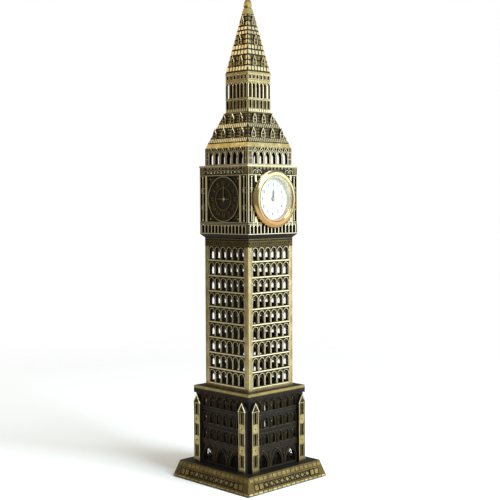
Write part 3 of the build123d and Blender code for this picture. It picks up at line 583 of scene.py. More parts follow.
# ---- plinth
def plinth_relief():
    """Two courses of blocks, and between them a sunk band of lozenges and studs with blocks at its ends."""
    relief = Relief(PLINTH_SLOPE)
    relief.add(slab(2.66, 1.9, 0.16, 0.22), row(16, 2.98, 6.65))
    relief.add(slab(2.7, 1.0, 0.16, 0.18), row(17, 3.02, 1.0), tone=1.3)
    sunk = -0.45
    relief.course(21.3, 5.1, 0.35, 0.45, lift=sunk)
    relief.course(21.3, 1.8, 0.35, 0.45, lift=sunk)
    for u in (19.9, 16.9):
        relief.both(slab(2.5, 2.5, 0.55, 0.2), u, 3.45, lift=sunk)
    relief.add(lozenge(2.6, 2.3, 0.42, 0.3), row(9, 3.4, 3.45), lift=sunk)
    relief.add(stud(0.42, 0.4), row(8, 3.4, (2.75, 4.15)), lift=sunk)
    return relief


# ---- lower stage
WINDOW_ROWS = ((20.0, 24.7), (27.6, 32.4), (35.2, 40.0))  # sill and apex
WINDOW_PITCH = 4.65
WINDOWS = spread(6, WINDOW_PITCH)
WINDOW_PIERS = spread(7, WINDOW_PITCH)
ARCHES = spread(3, 2 * WINDOW_PITCH)
ARCH_PIERS = spread(4, 2 * WINDOW_PITCH)


def either_side(us, distance):
    """The places at this distance before and after each of the given ones."""
    return np.concatenate([us - distance, us + distance])


def lower_relief():
    """Window tracery and hoods, string courses, a balcony, ground arches and a ribbed frieze."""
    relief = Relief(upright(LOWER_PLANE))
    for sill, apex in WINDOW_ROWS:
        height = apex - sill
        windows = places(WINDOWS, sill)
        frame_path = pointed_arch(2.3 + 0.3, height + 0.15)
        relief.line(frame_path, 0.36, 0.32, windows)
        relief.line(post(0, 0, height - 1.1), 0.26, 0.2, windows, lift=-0.4)
        lights = places(either_side(WINDOWS, 0.58), sill + height - 2.9)
        relief.line(pointed_arch(1.0, 1.6, 3), 0.2, 0.2, lights, lift=-0.4)
        relief.line(level(-1.5, 1.5, -0.25), 0.4, 0.45, windows)
        relief.line(post(0, 0.2, height - 0.9), 0.42, 0.4, places(WINDOW_PIERS, sill), tone=0.75)
        relief.add(stud(0.34, 0.4), places(WINDOW_PIERS, sill + height - 0.6))
    hood = [(-2.3, 0.0), (0.0, 2.5), (2.3, 0.0)]
    relief.line(hood, 0.34, 0.5, places(WINDOWS, 38.1))
    relief.add(stud(0.3, 0.45), places(WINDOW_PIERS, 38.0))
    for z, out in ((35.0, 0.5), (33.7, 0.5), (27.1, 0.5), (25.2, 0.5), (19.45, 0.85), (17.2, 0.8)):
        relief.course(13.3, z, 0.34, out)
    relief.add(slab(0.5, 1.3, 0.75, 0.15), row(23, 1.15, 18.3))
    relief.add(slab(0.4, 1.0, 0.55, 0.12), row(23, 1.15, 26.15), tone=0.7)
    relief.line(pointed_arch(7.6, 8.3, 7), 0.5, 0.5, places(ARCHES, 8.6))
    relief.line(pointed_arch(6.2 + 0.3, 6.8, 7), 0.4, 0.35, places(ARCHES, 8.7), tone=0.7)
    doors = places(either_side(ARCHES, 1.45), 8.8)
    relief.line(pointed_arch(2.4, 4.6, 4), 0.25, 0.2, doors, lift=-0.9, tone=0.7)
    relief.add(ring(0.8, 0.25, 0.2, 12), places(ARCHES, 13.6), lift=-0.9, tone=0.7)
    relief.add(ring(0.62, 0.24, 0.35, 10), places(ARCH_PIERS, 15.4))
    relief.line(post(0, 8.1, 13.6), 0.6, 0.55, places(ARCH_PIERS), tone=0.8)
    relief.add(slab(1.1, 0.7, 0.7), places(ARCH_PIERS, 13.8))
    relief.add(slab(26.0, 0.8, 0.5), places(0.0, 8.5), tone=0.6)
    frieze = LOWER_HIGH[0] - LOWER_PLANE
    relief.add(slab(0.55, 1.5, 0.22, 0.12), row(26, 1.17, 41.85), lift=frieze, tone=0.8)
    relief.course(18.6, 42.7, 0.3, 0.25, lift=frieze)
    relief.course(18.6, 41.0, 0.25, 0.2, lift=frieze, tone=0.7)
    return relief


def buttress_relief():
    """On each of the two buttresses, edge fillets, panels with a diamond between the slots, and a gabled cap
    whose roof runs back to the wall."""
    relief = Relief(upright(BUTTRESS_PLANE))
    middle = 15.5
    depth = BUTTRESS_PLANE - LOWER_PLANE
    for u in (13.62, 17.38):
        relief.lines(post(0, 8.2, 36.3), 0.42, 0.24, u)
    for z in (28.35, 18.4):
        relief.both(slab(3.2, 4.3, 0.12, 0.1), middle, z, tone=0.88)
        relief.both(lozenge(1.0, 1.3, 0.26, 0.3, crown=0.0, edge=0.1), middle, z)
    relief.both(slab(3.2, 1.9, 0.12, 0.1), middle, 9.6, tone=0.8)
    for low, high in ((10.8, 15.9), (20.9, 25.9), (30.8, 35.6)):
        frame_path = [(-0.75, low), (-0.75, high), (0.0, high + 0.5), (0.75, high), (0.75, low)]
        relief.lines(frame_path, 0.22, 0.18, middle, tone=0.9)
    gable = [(-2.2, 36.0), (2.2, 36.0), (0.0, 39.9)]
    relief.both(prism(gable, 0.02, 0.01, sunk=depth, edge=0.1, crown=0.1), middle, 0.0)
    rib = moulding(0.5, 0.35)
    relief.both(bar([(-2.25, 36.0), (0.0, 40.0), (2.25, 36.0)], rib), middle, 0.0, tone=1.15)
    relief.lines([(-1.2, 36.6), (0.0, 38.7), (1.2, 36.6)], 0.25, 0.2, middle, tone=0.7)
    relief.lines(level(-2.1, 2.1, 36.2), 0.3, 0.25, middle)
    return relief


# ---- shaft
SHAFT_PITCH = 4.04
SHAFT_BAYS = spread(6, SHAFT_PITCH)
SHAFT_SILLS = 46.4 + 7.28 * np.arange(9)  # the first sill, and the rise to each of the others
PANEL = -0.4  # the sunk panels lie this far behind the pilasters


def shaft_relief():
    """Nine rows of arches with columns and tracery, string courses, pilaster fillets and a frieze."""
    relief = Relief(upright(SHAFT_PLANE))
    bays = places(SHAFT_BAYS, SHAFT_SILLS)
    piers = row(7, SHAFT_PITCH, SHAFT_SILLS)
    springing = 4.15
    relief.line(arc(1.66, 176, 4, 11, (0, springing)), 0.34, 0.48, bays, lift=PANEL)
    relief.line(post(0, 0, springing), 0.34, 0.34, piers - (0.3, 0), crown=0.4, lift=PANEL)
    relief.line(post(0, 0, springing), 0.34, 0.40, piers + (0.3, 0), crown=0.4, lift=PANEL)
    relief.add(slab(1.0, 0.3, 0.5, 0.1), piers + (0, springing), lift=PANEL)
    relief.add(slab(1.0, 0.3, 0.46, 0.1), piers + (0, 0.15), lift=PANEL, tone=0.8)
    relief.add(stud(0.26, 0.3), piers + (0, springing + 1.35), lift=PANEL, tone=0.7)
    head = PANEL - 0.4
    light = pointed_arch(2.3 + 0.2, 4.1, 5)
    relief.line(light, 0.24, 0.2, bays, lift=head, tone=0.45)
    relief.add(ring(0.46, 0.2, 0.25, 8, centre=(0, 4.85)), bays, lift=head, tone=0.5)
    cusps = [(-1.3, 4.4), (-0.6, 4.5), (0, 4.05), (0.6, 4.5), (1.3, 4.4)]
    relief.line(cusps, 0.2, 0.22, bays, lift=head, tone=0.5)
    string_course = level(-12.15, 12.15, -0.6)
    relief.line(string_course, 0.66, 0.5, places(0, SHAFT_SILLS), crown=0.6, lift=PANEL + 0.02, tone=1.12)
    for u in (12.35, 14.35):
        relief.lines(post(0, 45.6, 110.8), 0.3, 0.12, u, tone=0.9)
    add_shaft_frieze(relief)
    return relief


def cross(size, width, out):
    """Two bars of a saltire, as a pair of patches."""
    section = moulding(width, out)
    return (bar([(-size, -size), (size, size)], section), bar([(-size, size), (size, -size)], section))


def add_shaft_frieze(relief):
    """Head of the shaft: small blind arches between string courses, with a saltire at each end."""
    for z, width, out in ((111.0, 0.3, 0.26), (111.7, 0.22, 0.2), (113.3, 0.22, 0.2), (114.3, 0.34, 0.26)):
        relief.course(14.5, z, width, out, tone=0.6)
    relief.line(round_arch(0.9, 1.3, 5), 0.22, 0.22, row(19, 1.28, 111.85), tone=0.6)
    for patch in cross(1.1, 0.3, 0.3):
        relief.both(patch, 13.2, 112.5, tone=0.6)


# ---- clock stage
CLOCK_PITCH = 2.31


def clock_relief(clear=0.0):
    """Arcade of slots, mouldings, frieze, pilasters and the narrow tiers beside them. Clear is the radius of
    the circle that is left free for the insert's bezel."""
    relief = Relief(upright(CLOCK_PLANE), clear)
    wide = CLOCK_PLANE - 0.05
    relief.strip(level(-wide, wide, 116.75), moulding(0.5, 0.3))
    for u in spread(14, CLOCK_PITCH):
        relief.strip(post(u, 117.0, 120.9), moulding(0.7, 0.28))
    relief.line(arc(0.78, 180, 0, 5, (0, 120.2)), 0.3, 0.26, row(13, CLOCK_PITCH))
    for z, width, out in ((121.35, 0.34, 0.34), (122.0, 0.34, 0.34), (143.75, 0.4, 0.36)):
        relief.strip(level(-wide, wide, z), moulding(width, out))
    for side in (-1, 1):
        relief.strip(post(side * 11.5, 122.2, 143.6), moulding(1.35, 0.4, 0.7))
        relief.strip(post(side * 13.95, 122.6, 143.2), moulding(0.75, 0.3, 0.4))
        relief.strip(post(side * 15.85, 122.2, 143.6), moulding(0.6, 0.3))
    for z in (128.9, 136.75):
        for patch in cross(0.7, 0.28, 0.36):
            relief.both(patch, 14.0, z)
        relief.both(lozenge(0.9, 0.9, 0.45, 0.2), 14.0, z)
        for z_bar in (z - 1.15, z + 1.15):
            relief.lines(level(-0.7, 1.3, z_bar), 0.24, 0.26, 14.0)
    relief.both(stud(0.5, 0.5), 13.95, (123.0, 142.9))
    add_clock_frieze(relief)
    return relief


def add_clock_frieze(relief):
    """Interlaced arcs over a row of ribs, with a small roundel where two arcs meet."""
    relief.line(arc(1.5, 180, 0, 7, (0, 144.6)), 0.28, 0.3, row(11, CLOCK_PITCH))
    relief.add(ring(0.42, 0.2, 0.34, 8), row(10, CLOCK_PITCH, 146.9))
    relief.line(post(0, 144.1, 145.7), 0.24, 0.2, row(11, CLOCK_PITCH), tone=0.8)
    relief.course(16.2, 147.35, 0.3, 0.2, tone=0.8)
    for u in (13.2, 14.1, 15.0, 15.9):
        relief.lines(post(0, 144.1, 147.3), 0.4, 0.25, u, tone=0.8)


ROMAN = ("XII", "I", "II", "III", "IIII", "V", "VI", "VII", "VIII", "IX", "X", "XI")
STROKES = {
    "I": (0.55, [[(0, -1), (0, 1)]]),
    "V": (1.0, [[(-0.6, 1), (0, -1)], [(0, -1), (0.6, 1)]]),
    "X": (1.0, [[(-0.6, -1), (0.6, 1)], [(-0.6, 1), (0.6, -1)]]),
}


def numeral_strokes(word, height):
    """Paths of a Roman numeral's strokes, centred on the origin."""
    widths = [STROKES[letter][0] * height * 0.62 for letter in word]
    edge = -sum(widths) / 2
    paths = []
    for letter, width in zip(word, widths):
        for stroke in STROKES[letter][1]:
            paths.append(np.array(stroke) * height / 2 * (0.75, 1.0) + (edge + width / 2, 0))
        edge += width
    return paths


def turned(path, degrees, radius):
    """Moves a path out from the dial's centre and turns it clockwise."""
    angle = math.radians(-degrees)
    path = np.asarray(path, float) + (0, radius)
    spin = np.array([[math.cos(angle), -math.sin(angle)], [math.sin(angle), math.cos(angle)]])
    return path @ spin.T + (0, CLOCK_MIDDLE)


def dial_relief():
    """A dial cast in its wall: rings, spokes, Roman numerals, fixed hands, and leaves in the corners of the
    square field."""
    relief = Relief(upright(CLOCK_PLANE - 0.7))
    centre = (0, CLOCK_MIDDLE)
    relief.add(prism(arc(10.2, 0, 360, 49)[:-1], 0.16, 0.1, edge=0.2, crown=0.22), [centre])
    rings = ((10.3, 0.55, 0.9, 1.15), (9.3, 0.25, 0.45, 0.7), (5.9, 0.25, 0.4, 0.7), (5.15, 0.4, 0.75, 0.95))
    for radius, width, out, tone in rings:
        relief.add(ring(radius, width, out, 40, centre=centre), tone=tone)
    thin = moulding(0.32, 0.55)
    for hour, word in enumerate(ROMAN):
        for stroke in numeral_strokes(word, 2.2):
            relief.add(bar(turned(stroke, 30 * hour, 7.6), thin), tone=0.95)
    for spoke in range(12):
        relief.line(turned(post(0, -0.5, 0.5), 30 * spoke + 15, 4.3), 0.25, 0.3, tone=0.5)
    relief.add(ring(3.4, 0.25, 0.25, 24, centre=centre), tone=0.4)
    relief.line(turned([(0, -1.4), (0, 6.2)], 2, 0), 0.55, 0.8)
    relief.line(turned([(0, -3.8), (0, 4.4)], 272, 0), 0.5, 0.7, tone=0.95)
    relief.add(stud(0.9, 0.95, 12), [centre])
    for su, sz in ((1, 1), (-1, 1), (-1, -1), (1, -1)):
        leaf = [(9.6, 6.2), (8.6, 8.6), (6.2, 9.6)]
        flower = np.array(leaf) * (su, sz) + centre
        relief.line(flower[:: su * sz], 0.4, 0.4, tone=0.7)
        relief.add(stud(0.6, 0.5), [(9.3 * su, CLOCK_MIDDLE + 9.3 * sz)])
        relief.add(lozenge(1.2, 1.2, 0.45, 0.2), [(8.0 * su, CLOCK_MIDDLE + 8.0 * sz)], tone=0.7)
    edge = 10.45
    square = np.array([(-edge, -edge), (-edge, edge), (edge, edge), (edge, -edge)]) + centre
    relief.add(bar(square, moulding(0.3, 0.55), loop=True), tone=0.7)
    return relief


# ---- belfry
BELFRY_PITCH = 4.0
BELFRY_BAYS = spread(6, BELFRY_PITCH)
BELFRY_PIERS = spread(7, BELFRY_PITCH)


def belfry_relief():
    """Columns, pointed mouldings, ogee hoods with a ringed eye, and corner turrets."""
    relief = Relief(upright(BELFRY_PLANE))
    relief.line(pointed_arch(2.6 + 0.3, 5.8), 0.3, 0.28, places(BELFRY_BAYS, 149.0))
    relief.line(post(0, 148.7, 153.0), 0.5, 0.34, places(BELFRY_PIERS), crown=0.4)
    relief.add(slab(1.0, 0.4, 0.42, 0.1), places(BELFRY_PIERS, 153.1))
    relief.line(ogee(3.7, 3.3), 0.36, 0.42, places(BELFRY_BAYS, 153.2))
    relief.add(ring(0.62, 0.24, 0.3, 10), places(BELFRY_BAYS, 155.5))
    relief.line([(0, 153.4), (0, 156.5)], 0.34, 0.34, places(BELFRY_PIERS))
    for u in (12.0, 13.2, 14.2):
        relief.lines(post(0, 148.6, 156.4), 0.34, 0.26, u)
    for z in (151.4, 154.7):
        relief.lines(level(-1.3, 1.3, z), 0.3, 0.26, 13.0)
    relief.course(14.3, 148.75, 0.35, 0.3)
    relief.course(14.3, 156.35, 0.3, 0.3, tone=0.7)
    return relief


# ---- roofs
def tile_course(relief, low, high, pitch, out, gap, **how):
    """A course of cast tiles between two heights, filling the slope's width."""
    reach = float(relief.plane((low + high) / 2)) - 0.15
    count = max(1, round(2 * reach / pitch))
    width = 2 * reach / count
    tile = slab(width - gap, high - low - gap, out, 0.16)
    relief.add(tile, row(count, width, (low + high) / 2), **how)


def dormer(relief, u, low, height, width):
    """A gabled dormer: its front stands upright at the slope's foot and its roof runs back into the slope."""
    front = float(relief.plane(low)) + 0.25
    shoulder = height * 0.48
    house = [(-width / 2, 0), (width / 2, 0), (width / 2, shoulder), (0, height), (-width / 2, shoulder)]
    back = front - float(relief.plane(low + height)) + 0.3
    at = places(u, low)
    relief.add(prism(house, 0.0, 0.01, sunk=back, edge=0.05, crown=0.05), at, front=front)
    outline = [(-width / 2, 0), (-width / 2, shoulder), (0, height), (width / 2, shoulder), (width / 2, 0)]
    relief.line(outline, 0.42, 0.32, at, crown=0.6, front=front)
    relief.line(level(-width / 2, width / 2, shoulder * 0.85), 0.28, 0.22, at, front=front)
    relief.line(level(-width / 2, width / 2, 0.1), 0.3, 0.25, at, front=front)
    if width > 1.5:
        relief.line(post(0, 0, shoulder * 0.85), 0.24, 0.18, at, front=front, tone=0.8)


def roof_relief():
    """Two courses of tiles, each under a row of dormers, with small tiles between the dormers."""
    relief = Relief(ROOF_SLOPE)
    tile_course(relief, 158.95, 161.2, 1.25, 0.26, 0.3)
    tile_course(relief, 165.7, 168.1, 1.25, 0.26, 0.3)
    small = ((161.3, 162.7), (162.8, 164.2), (164.3, 165.6), (168.2, 169.5), (169.6, 170.9), (171.0, 172.3))
    for low, high in small:
        tile_course(relief, low, high, 1.5, 0.12, 0.36, tone=0.7)
    dormer(relief, spread(4, 6.2), 161.2, 4.3, 2.2)
    dormer(relief, spread(3, 5.8), 168.1, 4.2, 2.1)
    relief.line(level(-ROOF_HEAD - 0.1, ROOF_HEAD + 0.1, 172.75), 0.4, 0.3, tone=0.8)
    return relief


# ---- lantern
LANTERN_PITCH = 2.4
LANTERN_BAYS = spread(6, LANTERN_PITCH)


def lantern_relief():
    """Blind arcade, open arcade with slender columns, plain band, sunk squares and cornice."""
    relief = Relief(upright(LANTERN_PLANE))
    wide = LANTERN_PLANE - 0.03
    relief.add(slab(0.9, 1.2, 0.3, 0.12), row(12, 1.22, 174.1))
    relief.course(wide, 173.4, 0.3, 0.35)
    relief.line(round_arch(1.5, 3.95, 5), 0.26, 0.24, places(LANTERN_BAYS, 175.0), tone=0.85)
    relief.course(wide, 179.1, 0.3, 0.26)
    relief.course(wide, 179.65, 0.3, 0.32)
    relief.line(post(0, 180.0, 186.2), 0.6, 0.26, row(7, LANTERN_PITCH))
    head = [(-0.85, 186.0), (-0.5, 186.7), (0, 187.2), (0.5, 186.7), (0.85, 186.0)]
    relief.line(head, 0.26, 0.22, places(LANTERN_BAYS))
    relief.course(wide, 187.5, 0.26, 0.16)
    frame_path = [(-0.7, -0.95), (-0.7, 0.95), (0.7, 0.95), (0.7, -0.95)]
    relief.add(bar(frame_path, moulding(0.22, 0.18), loop=True), places(LANTERN_BAYS, 189.4))
    relief.course(wide, 190.65, 0.3, 0.35)
    return relief


# ---- spire
def spire_relief():
    """Courses of blocks that thin towards the top, with dormers in three rows."""
    relief = Relief(SPIRE_SLOPE)
    courses = ((192.3, 194.7), (199.9, 202.3), (202.5, 204.8), (209.5, 211.4), (211.6, 213.5), (218.2, 219.2))
    for low, high in courses:
        tile_course(relief, low, high, 2.0, 0.3, 0.34)
    between = ((194.9, 197.1), (197.3, 199.6), (205.0, 207.1), (207.3, 209.3), (213.7, 215.8), (216.0, 218.0))
    for low, high in between:
        tile_course(relief, low, high, 2.0, 0.14, 0.3, tone=0.72)
    dormer(relief, [-2.85, 2.85], 194.8, 4.4, 1.9)
    dormer(relief, [0.0], 204.8, 4.4, 1.9)
    dormer(relief, [0.0], 214.2, 3.8, 1.3)
    corner_blocks(relief, courses + between)
    return relief


def corner_blocks(relief, courses):
    """A long block at each end of every course, which makes the ridge look quoined."""
    for low, high in courses:
        reach = float(relief.plane((low + high) / 2))
        if reach > 2.6:
            relief.both(slab(0.9, high - low - 0.2, 0.3, 0.15), reach - 0.45, (low + high) / 2)


# ---- clock insert
def lathe(name, profile, finish, steps):
    """Turns a closed outline about the insert's axis: at angle t a point (radius, out) stands at
    x = radius cos t, z = middle - radius sin t, and out from the clock wall's face."""
    profile = np.asarray(profile, float)
    turn = np.linspace(0, 2 * np.pi, steps, endpoint=False)[:, None]
    rings = np.empty((steps, len(profile), 3))
    rings[:, :, 0] = profile[:, 0] * np.cos(turn)
    rings[:, :, 1] = -(CLOCK_PLANE + profile[:, 1])
    rings[:, :, 2] = CLOCK_MIDDLE - profile[:, 0] * np.sin(turn)
    points, _, corners, sizes = skin(rings, np.zeros(rings.shape[:2]), loop=True)
    return make_piece(name, points, corners, sizes, finish, "insert", smooth=True)


def rounded(corners, radius=0.12, count=5):
    """Rounds every corner of a closed outline with a quadratic curve."""
    corners = np.asarray(corners, float)
    before = np.roll(corners, 1, axis=0) - corners
    after = np.roll(corners, -1, axis=0) - corners
    trim_before = np.minimum(radius / np.linalg.norm(before, axis=1), 0.42)[:, None]
    trim_after = np.minimum(radius / np.linalg.norm(after, axis=1), 0.42)[:, None]
    start = corners + before * trim_before
    end = corners + after * trim_after
    t = np.linspace(0, 1, count)[None, :, None]
    curve = (1 - t) ** 2 * start[:, None] + 2 * t * (1 - t) * corners[:, None] + t**2 * end[:, None]
    return curve.reshape(-1, 2)


def make_bezel(finish):
    """Turned bezel: a drum, a broad shoulder, a crest, and a step down to the dial. The shoulder is a quarter
    of an ellipse, (11.5 + 2 cos t, 1 + 1.68 sin t)."""
    quarter = np.radians(np.linspace(0, 90, 12))
    shoulder = [(11.5 + 2.0 * math.cos(t), 1.0 + 1.68 * math.sin(t)) for t in quarter]
    outline = [(10.2, -0.18), (10.2, 0.05), (13.3, 0.05), (13.5, 0.25)] + shoulder
    outline += [(11.2, 2.66), (10.5, 2.42), (10.4, 2.3), (10.38, 1.93), (9.95, 1.87), (9.45, -0.14)]
    bezel = lathe("insert_bezel_turned", rounded(outline), finish, 128)
    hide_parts("insert_bezel")


DIAL_PLANE = -box_mm("insert_dial")[0][1]
NUMERAL_SIZE = 2.3
NUMERAL_RADIUS = 6.75


def make_dial_marks(finish):
    """Sixty minute marks, printed a hair above the dial, with every fifth one long."""
    relief = Relief(upright(DIAL_PLANE))
    for minute in range(60):
        reach, width = (0.28, 0.2) if minute % 5 == 0 else (0.1, 0.1)
        section = moulding(width, 0.015, 0.9)
        section[:, 1] = np.clip(section[:, 1], -HAIR, 1)
        relief.add(bar(turned(post(0, -reach, reach), 6 * minute, 8.7), section))
    relief.cast("dial_marks", 0, finish, "insert", "blued_hands")


def numeral_mesh(hour):
    """A thin plate cut to an hour's numeral: its points in millimetres, its corners and its face sizes."""
    text = bpy.data.curves.new(f"numeral_{hour}", "FONT")
    text.body = str(hour)
    text.size = NUMERAL_SIZE * MM
    text.align_x = "CENTER"
    text.align_y = "CENTER"
    text.extrude = 0.01 * MM
    text.offset = 0.07 * MM
    text.resolution_u = 3
    holder = bpy.data.objects.new(f"numeral_{hour}", text)
    bpy.context.scene.collection.objects.link(holder)
    bpy.context.view_layer.update()
    mesh = bpy.data.meshes.new_from_object(holder.evaluated_get(bpy.context.evaluated_depsgraph_get()))
    bpy.data.objects.remove(holder)
    points = np.empty(len(mesh.vertices) * 3)
    mesh.vertices.foreach_get("co", points)
    corners = np.empty(len(mesh.loops), np.int32)
    mesh.loops.foreach_get("vertex_index", corners)
    sizes = np.empty(len(mesh.polygons), np.int32)
    mesh.polygons.foreach_get("loop_total", sizes)
    return points.reshape(-1, 3) / MM, corners, sizes


def make_numerals(finish):
    """Twelve hour numerals, a little narrowed, upright on a circle just above the dial."""
    for hour in range(1, 13):
        points, corners, sizes = numeral_mesh(hour)
        angle = math.radians(30 * hour)
        x = points[:, 0] * 0.9 + NUMERAL_RADIUS * math.sin(angle)
        y = -(DIAL_PLANE + 2 * HAIR) - points[:, 2]
        z = points[:, 1] + CLOCK_MIDDLE + NUMERAL_RADIUS * math.cos(angle)
        place = np.stack([x, y, z], axis=1)
        make_piece(f"dial_numeral_{hour}", place, corners, sizes, finish, "insert")


# ---- finishes of the castings
PROUD = 0.25  # how far the relief's crowns stand in front of a casting's own face
FLAT = (0.0, 1.0)  # the levels of an upright face, which leans nowhere


def casting_finishes():
    """Finishes of the tower's castings, by node without its side."""
    looks = {  # outer face's half width at its foot and head, its levels, fade, tone, edge and dark, the level above which shade is painted
        "plinth": (PLINTH_FOOT + PROUD, PLINTH_HEAD + PROUD, levels("plinth"), 1.5, 0.5, 0.1),
        "lower_wall": (BUTTRESS_PLANE, None, FLAT, 0.7, 0.45),
        "lower_cornice": (half_width("lower_cornice"), None, FLAT, 1.5, 0.70),
        # painted shade on the shaft's head above 110.8 mm, under the clock corbel
        "shaft_wall": (SHAFT_PLANE, None, FLAT, 0.5, 0.78, 0.0, 110.8),
        "clock_corbel": (CLOCK_PLANE + 0.4, None, FLAT, 0.8, 0.4),
        "clock_wall": (CLOCK_PLANE + 0.3, None, FLAT, 0.6, 0.26, 0.35),
        "clock_ledge": (half_width("clock_ledge"), None, FLAT, 1.2, 0.9),
        "belfry_wall": (BELFRY_PLANE + PROUD, None, FLAT, 0.6, 0.25, 0.2),
        "eave": (half_width("eave"), ROOF_FOOT, levels("eave"), 0.8, 0.78),
        "roof_slope": (ROOF_FOOT + PROUD, ROOF_HEAD + PROUD, levels("roof_slope_front"), 0.5, 0.4),
        "lantern_wall": (LANTERN_PLANE, None, FLAT, 0.4, 0.74),
        "lantern_cornice": (LANTERN_PLANE, None, FLAT, 0.8, 0.76),
        "spire": (SPIRE_FOOT + PROUD, SPIRE_HEAD + PROUD, levels("spire"), 0.5, 0.4),
        "finial": (SPIRE_HEAD, FINIAL_TIP, levels("finial"), 1.0, 0.72),
    }
    return {node: casting_brass(f"brass_{node}", *look) for node, look in looks.items()}


def other_finishes(gold):
    """Finishes of the insert's parts and of the base, by node."""
    steel = plain("satin_steel", (0.62, 0.62, 0.60), 0.35, 1.0)
    brass = plain("machined_brass", (0.78, 0.60, 0.30), 0.3, 1.0)
    black = plain("moulded_black", (0.02, 0.02, 0.02), 0.5, 0.0)
    white = plain("dial_white", (0.56, 0.58, 0.59), 0.6, 0.0, 0.02)
    dark = plain("dark_hands", (0.10, 0.065, 0.04), 0.6, 0.0)
    copper = plain("copper_wire", (0.75, 0.36, 0.18), 0.35, 1.0, 0.25, 900.0)
    rubber = plain("black_rubber", (0.03, 0.03, 0.032), 0.8, 0.0, 0.4, 1800.0)
    glass = plain("clear_lens", (1.0, 1.0, 1.0), 0.03, 0.0, 0.01, Alpha=0.07)
    nodes_by_finish = (
        (steel, "base_plate base_screws insert_case_lid button_cell setting_crown setting_lever"),
        (brass, "movement cannon_pinion hour_wheel minute_wheel"),
        (black, "insert_case insert_grip_ring"),
        (white, "insert_dial"),
        (dark, "hour_hand minute_hand"),
        (copper, "motor_coil"),
        (rubber, "base_pad"),
        (glass, "insert_lens"),
        (gold, "insert_bezel"),
    )
    return {node: finish for finish, nodes in nodes_by_finish for node in nodes.split()}


def finish_castings(gold):
    """Gives every node of the frame its finish."""
    finishes = casting_finishes() | other_finishes(gold)
    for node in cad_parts:
        stem = node
        for side in SIDES:
            stem = stem.removesuffix(f"_{side}")
        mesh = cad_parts[node].data
        mesh.materials.clear()
        mesh.materials.append(finishes[stem])


# ---- floor and light
ROOM_COLOUR = (1.0, 0.94, 0.80)
ROOM_STRENGTH = 0.36
TOWER_MIDDLE = (0, 0, 120)
LIGHTS = (  # name, place, size, watts and colour
    ("key", (90, -800, 720), 500, 17.0, (0.86, 1.0, 1.08)),
    ("right_card", (700, -700, 200), 900, 4.5, (0.90, 1.0, 1.06)),
    ("overhead", (100, -100, 1500), 1200, 8.0, (1.0, 1.0, 1.0)),
    ("left_fill", (-500, 450, 520), 400, 0.9, (1.0, 0.86, 0.60)),
)
FLOOR_SIZE = 900.0
FLOOR_FADE = (150.0, 520.0)  # distances over which the floor melts into the backdrop


def make_floor():
    """A pale floor that fades out all round, so no horizon shows."""
    size = FLOOR_SIZE * MM
    corners = [(-size, -size, 0), (size, -size, 0), (size, size, 0), (-size, size, 0)]
    mesh = bpy.data.meshes.new("floor")
    mesh.from_pydata(corners, [], [[0, 1, 2, 3]])
    finish = Finish("pale_floor", Base_Color=(0.8, 0.8, 0.8, 1.0), Roughness=0.9, Specular_IOR_Level=0.1)
    reach = finish.node("ShaderNodeVectorMath", {"operation": "LENGTH"}, {0: finish.place()}, 1)
    finish.feed("Alpha", reach.fade(FLOOR_FADE[0] * MM, FLOOR_FADE[1] * MM, 1.0, 0.0))
    mesh.materials.append(finish.material)
    floor = bpy.data.objects.new("floor", mesh)
    bpy.context.scene.collection.objects.link(floor)


def add_light(name, place, size, power, colour):
    """A square softbox that faces the middle of the tower."""
    data = bpy.data.lights.new(name, "AREA")
    data.size = size * MM
    data.energy = power
    data.color = colour
    lamp = bpy.data.objects.new(name, data)
    bpy.context.scene.collection.objects.link(lamp)
    lamp.location = [value * MM for value in place]
    aim = Vector(TOWER_MIDDLE) - Vector(place)
    lamp.rotation_euler = aim.to_track_quat("-Z", "Y").to_euler()


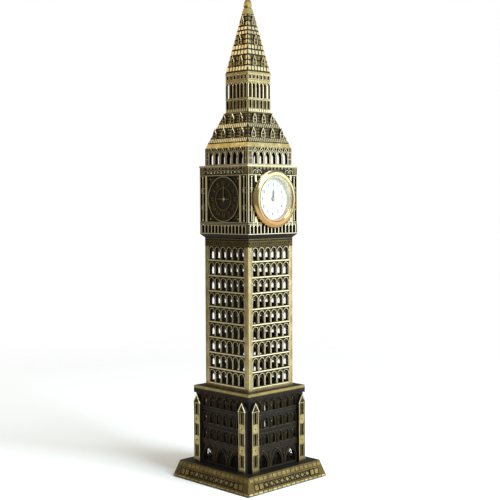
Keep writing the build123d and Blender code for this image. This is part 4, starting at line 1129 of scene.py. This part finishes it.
def set_light():
    """Sets the softboxes and the world. A dim warm room lights the tower against a white backdrop."""
    world = bpy.data.worlds.new("studio")
    bpy.context.scene.world = world
    world.use_nodes = True
    nodes, links = world.node_tree.nodes, world.node_tree.links
    room = nodes["Background"]
    room.inputs["Color"].default_value = (*ROOM_COLOUR, 1.0)
    room.inputs["Strength"].default_value = ROOM_STRENGTH
    backdrop = nodes.new("ShaderNodeBackground")
    blend = nodes.new("ShaderNodeMixShader")
    links.new(nodes.new("ShaderNodeLightPath").outputs["Is Camera Ray"], blend.inputs[0])
    links.new(room.outputs[0], blend.inputs[1])
    links.new(backdrop.outputs[0], blend.inputs[2])
    links.new(blend.outputs[0], nodes["World Output"].inputs["Surface"])
    backdrop.inputs["Color"].default_value = (1.0, 1.0, 1.0, 1.0)
    for name, place, size, power, colour in LIGHTS:
        add_light(name, place, size, power, colour)
    bpy.context.scene.view_settings.view_transform = "Standard"


# ---- put together
BLIND_SIDES = (1, 2, 3)  # the sides without the insert


def cast_round(name, relief, finish, turns=(0, 1, 2, 3)):
    """Casts one relief on several sides of the tower."""
    for turn in turns:
        relief.cast(f"{name}_{SIDES[turn]}", turn, finish)


set_camera()
# gold plate whose colour carries a painted reflection, darker at the bezel's foot
gold_plate_painted_reflection = gilt()
finish_castings(gold_plate_painted_reflection)
cast_round("plinth_relief", plinth_relief(), relief_brass("relief_plinth", 0.60, spread_of_wear=0.5))
cast_round("lower_tracery", lower_relief(), relief_brass("relief_lower", 0.40))
cast_round("buttress_trim", buttress_relief(), relief_brass("relief_buttress", 0.88))
cast_round("shaft_tracery", shaft_relief(), relief_brass("relief_shaft", 1.08))
cast_round("belfry_tracery", belfry_relief(), relief_brass("relief_belfry", 0.98))
cast_round("roof_tiles", roof_relief(), relief_brass("relief_roof", 0.92))
cast_round("lantern_arcade", lantern_relief(), relief_brass("relief_lantern", 1.02))
cast_round("spire_blocks", spire_relief(), relief_brass("relief_spire", 0.86))
clock_finish = relief_brass("relief_clock", 1.02)
cast_round("clock_ornament", clock_relief(clear=BEZEL_HIGH[0]), clock_finish, (0,))
cast_round("clock_ornament", clock_relief(), clock_finish, BLIND_SIDES)
cast_round("cast_dial", dial_relief(), relief_brass("relief_dial", 0.78, gloss=0.2), BLIND_SIDES)
make_bezel(gold_plate_painted_reflection)
dial_ink = plain("dial_ink", (0.03, 0.045, 0.07), 0.7, 0.0)
make_dial_marks(dial_ink)
make_numerals(dial_ink)
make_floor()
set_light()
